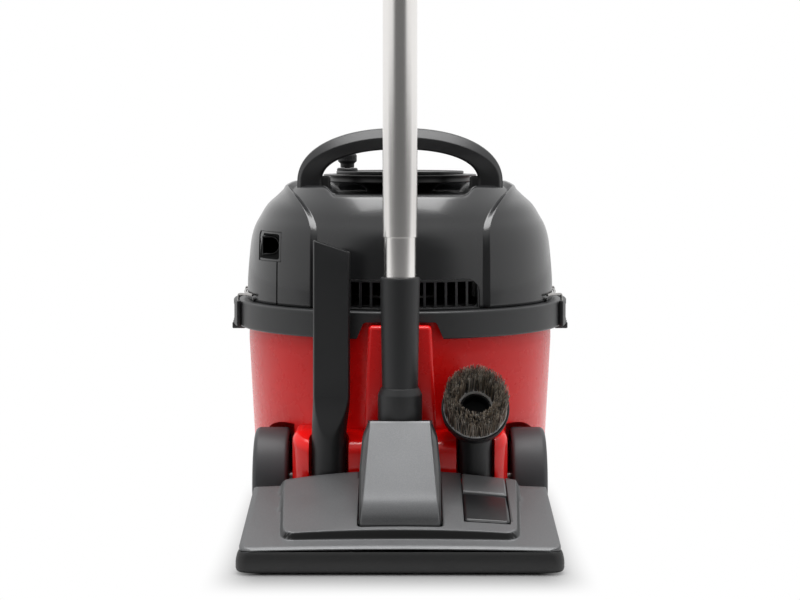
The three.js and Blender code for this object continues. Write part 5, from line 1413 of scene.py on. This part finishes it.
def makeWand():
    s = wandSizes
    n, r, w, at = s["narrow"], s["radius"], s["wall"], (0, s["axis"])
    low, shoulder, joint, top = s["low"], s["shoulder"], s["joint"], s["top"]
    line = closedLine([(n - w, low), (n, low, 0.4), (n, shoulder, 0.1), (r, shoulder + 0.3, 0.2), (r, joint - 1.5),
                       (r, joint, 0.5), (r - 0.95, joint, 0.3), (r - 0.95, joint - 87), (n - w, joint - 89)], 5)
    place(spun("wandLower", line, 128, at), "lower_wand", finishes["steel"], "steel", "wand_lower")
    low = joint - s["overlap"]
    line = closedLine([(n - w, low), (n, low, 0.4), (n, joint + 0.3), (r, joint + 0.8, 0.5), (r, top - 0.2),
                       (r - 0.3, top), (r - w + 0.2, top), (r - w, top - 0.3), (r - w, joint + 8),
                       (n - w, joint + 4)], 5)
    place(spun("wandUpper", line, 128, at), "upper_wand", finishes["steel"], "steel", "wand_upper")


makeWand()
print("wand done")


# The crevice tool: a round socket that goes over into a flat blade with a slanting mouth.
creviceSizes = {"x": -70, "y": -178, "low": 62.3, "stem": 17.1, "bore": 12.7, "blend": 102, "start": 143,
                "end": 286, "width": 36.6, "depth": 15, "aside": 2.4, "tipLeft": 296, "tipRight": 284, "wall": 2.2}


def makeCrevice():
    s = creviceSizes
    x, y, blend, start, end = s["x"], s["y"], s["blend"], s["start"], s["end"]
    slant, tip = s["tipRight"] - s["tipLeft"], (s["tipLeft"] + s["tipRight"]) / 2

    # A circle cut flat in front and behind, where the round stem goes over into the blade.
    def ring(width, flat, z, slope=0.0, shift=1.0, count=160):
        out = []
        for i in range(count):
            a = 2 * math.pi * (i + 0.5) / count
            px, py = math.cos(a) * width / 2, math.sin(a) * width / 2
            out.append((x + s["aside"] * shift + px, y + min(max(py, -flat), flat), z + slope * px / width))
        return out

    # Heights with how far the stem has become the blade: the outside, or the hollow a wall inside it.
    def skin(name, wall, low, radius, ends):
        levels = [(low, 0), (blend - 8, 0), (blend, 0)]
        levels += [(blend + (start - blend) * i / 16, i / 16) for i in range(1, 17)]
        levels += [(start + (end - start) * i / 7, 1) for i in range(1, 7)]
        rows = []
        for z, t in levels:
            soft = softStep(t)
            width = 2 * radius + (s["width"] - 2 * radius) * soft
            flat = radius + (s["depth"] / 2 - radius) * (0.6 * t + 0.4 * soft)
            slope = slant * max(0, (z - start) / (end - start))
            rows.append(ring(width - 2 * wall, flat - wall, z, slope, soft))
        for inset, z in ends:
            rows.append(ring(s["width"] - 2 * wall - inset, s["depth"] / 2 - wall - inset / 2, z, slant))
        return skinned(name, rows)

    tool = skin("creviceTool", 0, s["low"], s["stem"], [(0, tip - 0.8), (0.5, tip - 0.2), (1.4, tip)])
    carve(tool, skin("creviceHollow", s["wall"], s["low"] - 3, s["bore"] + s["wall"], [(0, tip + 3)]))
    place(tool, "crevice", finishes["creviceBlack"], "black_plastic", "crevice_tool", crease=40)


makeCrevice()
print("crevice tool done")


# The dusting brush: a round head that leans back on its stem, with a ring of long hair round its mouth.
brushSizes = {"face": (74, -190, 132), "tilt": 30, "rim": 33.5, "depth": 22, "inner": 15, "backing": 3,
              "stemAt": (74, -178), "stem": 16.8, "low": 62.3, "bore": 12, "duct": 9.5, "hairs": 3400,
              "length": 33.8,
              "tints": [(0.02, 0.018, 0.016), (0.1, 0.085, 0.07), (0.2, 0.165, 0.13), (0.34, 0.27, 0.2),
                        (0.5, 0.41, 0.32), (0.7, 0.6, 0.5), (0.24, 0.24, 0.245), (0.85, 0.8, 0.72)],
              "shares": [9, 3, 3, 5, 5, 6, 3, 5]}


def makeBrush():
    s = brushSizes
    r, depth, inner, back = s["rim"], s["depth"], s["inner"], s["backing"]
    lean = Matrix.Rotation(math.radians(90 - s["tilt"]), 4, "X")
    lean.translation = [v / 1000 for v in s["face"]]
    line = rounded([(0, -depth), (20, -depth), (r - 1.2, -depth + 8, 7), (r, -2.5, 3), (r, 0, 0.5),
                    (r - 1.6, 0, 0.4), (r - 2, -back - 0.3), (inner, -back - 0.3), (inner, -back + 0.4, 0.3),
                    (inner - 1.2, -back + 0.4, 0.3), (inner - 1.2, -depth + 3), (0, -depth + 3)], 6)
    head = moved(spun("brushHolder", line, 128), lean)
    line = rounded([(0, s["low"]), (s["stem"], s["low"], 0.8), (s["stem"], 118), (0, 118)], 4)
    stem = spun("stem", line, 72, s["stemAt"])
    carve(stem, moved(rod("inside", inner - 1.2, -depth + 3, 20, 72), lean))
    joinUp(head, stem)
    carve(head, rod("bore", s["bore"], 50, 91, 64, s["stemAt"]), rod("duct", s["duct"], 80, 114, 48, s["stemAt"]))
    place(head, "dusting_brush", finishes["creviceBlack"], "black_plastic", "brush_holder")

    pen = random.Random(7)
    points, faces, tints = [], [], []
    low, high = inner + 2.4, r - 2.8
    for _ in range(s["hairs"]):
        a = pen.uniform(0, 2 * math.pi)
        radius = math.sqrt(pen.uniform(low ** 2, high ** 2))
        length = s["length"] + pen.gauss(0, 1.0)
        spread = 0.03 * (radius - low) / (high - low) + pen.gauss(0, 0.02)
        swirl = pen.gauss(0, 0.05)
        thick = pen.uniform(0.26, 0.46)
        first = len(points)
        rings = []
        for level in range(4):
            t = level / 3
            out = radius * (1 + spread * t * t)
            b = a + swirl * t * t
            size = thick * (1 - 0.45 * t)
            x, y, z = out * math.cos(b), out * math.sin(b), -back + 1 + (length + back - 1) * t
            corners = [b + math.pi * 2 / 3 * k for k in range(3)]
            rings.append([(x + size * math.cos(c), y + size * math.sin(c), z) for c in corners])
        addStrand(points, faces, rings)
        tints.append((first, len(points), pen.choices(s["tints"], s["shares"])[0]))
    hairs = toObject("hairs", points, faces)
    tintHair(hairs, tints)
    foot = closedLine([(inner + 0.8, -back + 0.1), (r - 2.3, -back + 0.1), (r - 2.3, 0), (inner + 0.8, 0)])
    ring = moved(merged("brushHair", [hairs, spun("backing", foot, 64)]), lean)
    nodes = [f"brush_bristles_{side}" for side in ("right", "upper", "left", "lower")]
    place(ring, "dusting_brush", finishes["hair"], "hair", *nodes)


makeBrush()
print("dusting brush done")


# The part filled dust bag with the card collar that slides over the inlet.
bagSizes = {"centre": (0, 0, 121.5), "half": (112, 102, 54), "neck": 25, "neckBore": 22, "neckZ": 140,
            "cardLow": (-40, 118, 100), "cardHigh": (40, 121, 172), "cardBore": 23.4}


def makeBag():
    s = bagSizes
    cx, cy, cz = s["centre"]
    a, b, c = s["half"]
    rows = []
    for i in range(45):
        v = -math.pi / 2 + math.pi * i / 44
        # a pillow: full in the middle, with sides that sag between its seams
        z = abs(math.sin(v)) ** 0.75 * math.copysign(1, math.sin(v))
        ring = math.cos(v) ** 0.55
        row = []
        for j in range(88):
            u = 2 * math.pi * j / 88
            x, y = ring * math.cos(u), ring * math.sin(u)
            sag = 0.06 * math.cos(2 * u) - 0.05 * max(z, 0) ** 2 * (1 - ring)
            wave = noise.noise(Vector((x * 2.1, y * 2.1, z * 3.1))) * 0.05
            crease = 3 * noise.noise(Vector((x * 3, y * 3, 0.5)))
            k = 1 + wave + 0.018 * math.sin(9 * u + crease) * ring ** 2 * (1 - abs(z))
            row.append((cx + a * x * k, cy + b * y * k, cz + c * (z * (1 + wave) - 0.05 + sag * 0.5)))
        rows.append(row)
    bag = skinned("dustBag", rows)
    low, high, z = s["neckBore"], s["neck"], s["neckZ"]
    joinUp(bag, spun("bagNeck", closedLine([(low, 80), (high, 80), (high, 117.4), (low, 117.4)]), 64, (0, z), "y"))
    place(bag, "tub_body", finishes["cloth"], "cloth", "dust_bag", crease=60)
    card = block("bagCollar", s["cardLow"], s["cardHigh"])
    carve(card, rod("cardHole", s["cardBore"], 100, 200, 64, (0, z), "y"))
    eased(card, 0.8)
    place(card, "tub_body", finishes["card"], "card", "bag_collar")


# The cloth filter: a bowl with soft pleats, held in a ring that rests on the tub.
filterSizes = {"radius": 150.6, "foot": 118, "low": 182.6, "top": 223.4, "pleats": 24, "pleat": 0.8,
               "flatShare": 0.45, "thick": 2.2, "ringBore": 151.7, "ringRadius": 159.4, "lip": 162.5}


def makeFilter():
    s = filterSizes
    bore, r, lip = s["ringBore"], s["ringRadius"], s["lip"]
    ring = spun("filterRing", closedLine([(bore, 214.3), (r, 214.3, 0.5), (r, 222.6), (lip, 222.6, 0.5),
                                         (lip, 224.3, 0.8), (bore, 224.3, 0.8)], 4), 144)
    place(ring, "tub_body", finishes["inner"], "black_plastic", "filter_ring")
    foot, low, flat = s["foot"], s["low"], s["flatShare"]
    rows = []
    for i in range(1, 40):
        t = i / 39
        if t < flat:
            r, z = foot * t / flat, low
        else:
            k = (t - flat) / (1 - flat)
            r, z = foot + (s["radius"] - foot) * k ** 0.9, low + (s["top"] - low) * k
        row = []
        for j in range(144):
            u = 2 * math.pi * j / 144
            pleat = abs(s["pleat"] * math.sin(s["pleats"] * u) * math.sin(math.pi * min(1, t * 1.2)))
            row.append(((r - pleat) * math.cos(u), (r - pleat) * math.sin(u), z + 0.4 * math.sin(5 * u) * (1 - t)))
        rows.append(row)
    bowl = skinned("filterCloth", rows, capped=False)
    solid = bowl.modifiers.new("thick", "SOLIDIFY")
    solid.thickness = s["thick"] / 1000
    solid.offset = 1
    settle(bowl)
    place(bowl, "tub_body", finishes["cloth"], "cloth", "filter_cloth", crease=60)


def makeAxles():
    s = wheelSizes
    for name, side in (("left", -1), ("right", 1)):
        low, high = (side * end for end in s["axleEnds"])
        line = rounded([(0, low), (s["axle"], low, 0.6), (s["axle"], high, 0.8), (0, high)], 3)
        axle = spun("wheelAxle_" + name, line, 48, (s["y"], s["radius"]), "x")
        place(axle, "tub_body", finishes["plated"], "steel_inner", f"wheel_axle_{name}")


makeBag()
makeFilter()
makeAxles()
print("inside done")


# The camera stands level behind the machine; its frame is shifted down. Places are metres from here on.
viewSizes = {"lens": 80.06, "place": (0, -1.866, 0.393), "shift": -0.1977}
# How bright the world is: behind the camera, mirrored there in gloss, and elsewhere; and the lamp's watts.
lightLevels = {"facing": 0.36, "mirrored": 0.17, "around": 1.0, "overhead": 38}
# How dark the floor's painted shadow is, how far it fades out on each side, and what it throws back onto the
# machine.
floorLevels = {"reach": 6000, "paintedShadowTone": 0.3, "side": (0.125, 0.18), "front": (0.252, 0.332), "rear": (0.1, 0.26),
               "dark": 0.1, "pale": 0.8, "paleFrom": (-1.0, -0.45)}


def makeCamera():
    camera = bpy.data.objects.new("viewer", bpy.data.cameras.new("viewer"))
    camera.data.lens = viewSizes["lens"]
    camera.data.shift_y = viewSizes["shift"]
    camera.location = viewSizes["place"]
    camera.rotation_euler = (math.radians(90), 0, 0)
    bpy.context.scene.collection.objects.link(camera)
    bpy.context.scene.camera = camera


# A white floor. Under the machine the camera sees it a darker grey, a painted shadow that adds to the real
# shadow there and fades into the white backdrop; for light that it throws on, it's darker where the camera stands.
def makeFloor():
    s = floorLevels
    wide = s["reach"]
    corners = [[(-wide, y, 0), (wide, y, 0)] for y in (-wide, wide)]
    floor = skinned("studioFloor", corners, wrap=False, capped=False)
    finish = Finish("studioWhite", Roughness=0.8)
    seen = finish.node("ShaderNodeLightPath", output="Is Camera Ray")
    bounce = finish.node("ShaderNodeLightPath", output="Is Diffuse Ray")
    spot = {"Vector": finish.node("ShaderNodeTexCoord", output="Object")}
    x, y = (finish.node("ShaderNodeSeparateXYZ", {}, spot, output=axis) for axis in ("X", "Y"))

    def fade(value, low, high):
        return finish.node("ShaderNodeMapRange", {"interpolation_type": "SMOOTHSTEP"},
                           {"Value": value, "From Min": low, "From Max": high})

    dark, pale = (s["dark"],) * 3, (s["pale"],) * 3
    thrown = finish.blendOf(fade(y, *s["paleFrom"]), dark, pale)
    thrown = finish.blendOf(bounce * 0.8, thrown, dark)
    # the camera sees the floor at the painted shadow's grey; outside that patch a white glow takes over
    finish.feed("Base Color", finish.blendOf(seen, thrown, (s["paintedShadowTone"],) * 3))
    side = fade(x * x, *(reach ** 2 for reach in s["side"]))
    paintedShadowPatch = (1 - side) * (1 - fade(y * -1, *s["front"])) * (1 - fade(y, *s["rear"]))
    glow = finish.node("ShaderNodeEmission", {}, {"Color": (1, 1, 1), "Strength": 1.0})
    mix = finish.node("ShaderNodeMixShader", {}, {0: (1 - paintedShadowPatch) * seen, 2: glow})
    finish.tree.links.new(finish.shader.outputs[0], mix.socket.node.inputs[1])
    finish.tree.links.new(mix.socket, finish.tree.nodes["Material Output"].inputs["Surface"])
    paint(floor, finish.material)


def lamp(name, at, aim, size, power):
    data = bpy.data.lights.new(name, "AREA")
    data.shape = "RECTANGLE"
    data.size, data.size_y = size
    data.energy = power
    made = bpy.data.objects.new(name, data)
    made.location = at
    made.rotation_euler = (Vector(aim) - Vector(at)).to_track_quat("-Z", "Y").to_euler()
    bpy.context.scene.collection.objects.link(made)


# White all round, with a darker side behind the camera, as in a studio; the camera itself sees white.
def makeWorld():
    world = bpy.data.worlds.new("studio")
    bpy.context.scene.world = world
    world.use_nodes = True
    tree = world.node_tree
    back = tree.nodes["Background"]
    rays = tree.nodes.new("ShaderNodeLightPath")
    at = tree.nodes.new("ShaderNodeTexCoord")
    split = tree.nodes.new("ShaderNodeSeparateXYZ")
    tree.links.new(at.outputs["Generated"], split.inputs[0])

    def level(low, high, facing):
        made = tree.nodes.new("ShaderNodeMapRange")
        made.interpolation_type = "SMOOTHSTEP"
        tree.links.new(split.outputs["Y"], made.inputs["Value"])
        values = {"From Min": low, "From Max": high, "To Min": facing, "To Max": lightLevels["around"]}
        for name, value in values.items():
            made.inputs[name].default_value = value
        return made.outputs[0]

    # takes the second level, or white, for one kind of ray
    def pick(kind, first, second=None):
        made = tree.nodes.new("ShaderNodeMix")
        tree.links.new(rays.outputs[kind], made.inputs[0])
        tree.links.new(first, made.inputs[2])
        if second:
            tree.links.new(second, made.inputs[3])
        else:
            made.inputs[3].default_value = 1.0
        return made.outputs[0]

    soft = level(-0.72, 0.05, lightLevels["facing"])
    sharp = level(-0.9, -0.6, lightLevels["mirrored"])
    strength = pick("Is Glossy Ray", soft, sharp)
    strength = pick("Is Transmission Ray", strength)
    strength = pick("Is Camera Ray", strength)
    back.inputs["Color"].default_value = (1, 1, 1, 1)
    tree.links.new(strength, back.inputs["Strength"])


makeCamera()
makeFloor()
makeWorld()
lamp("overhead", (0, 0.05, 2.0), (0, 0, 0.2), (1.5, 1.1), lightLevels["overhead"])
bpy.context.scene.view_settings.view_transform = "Standard"
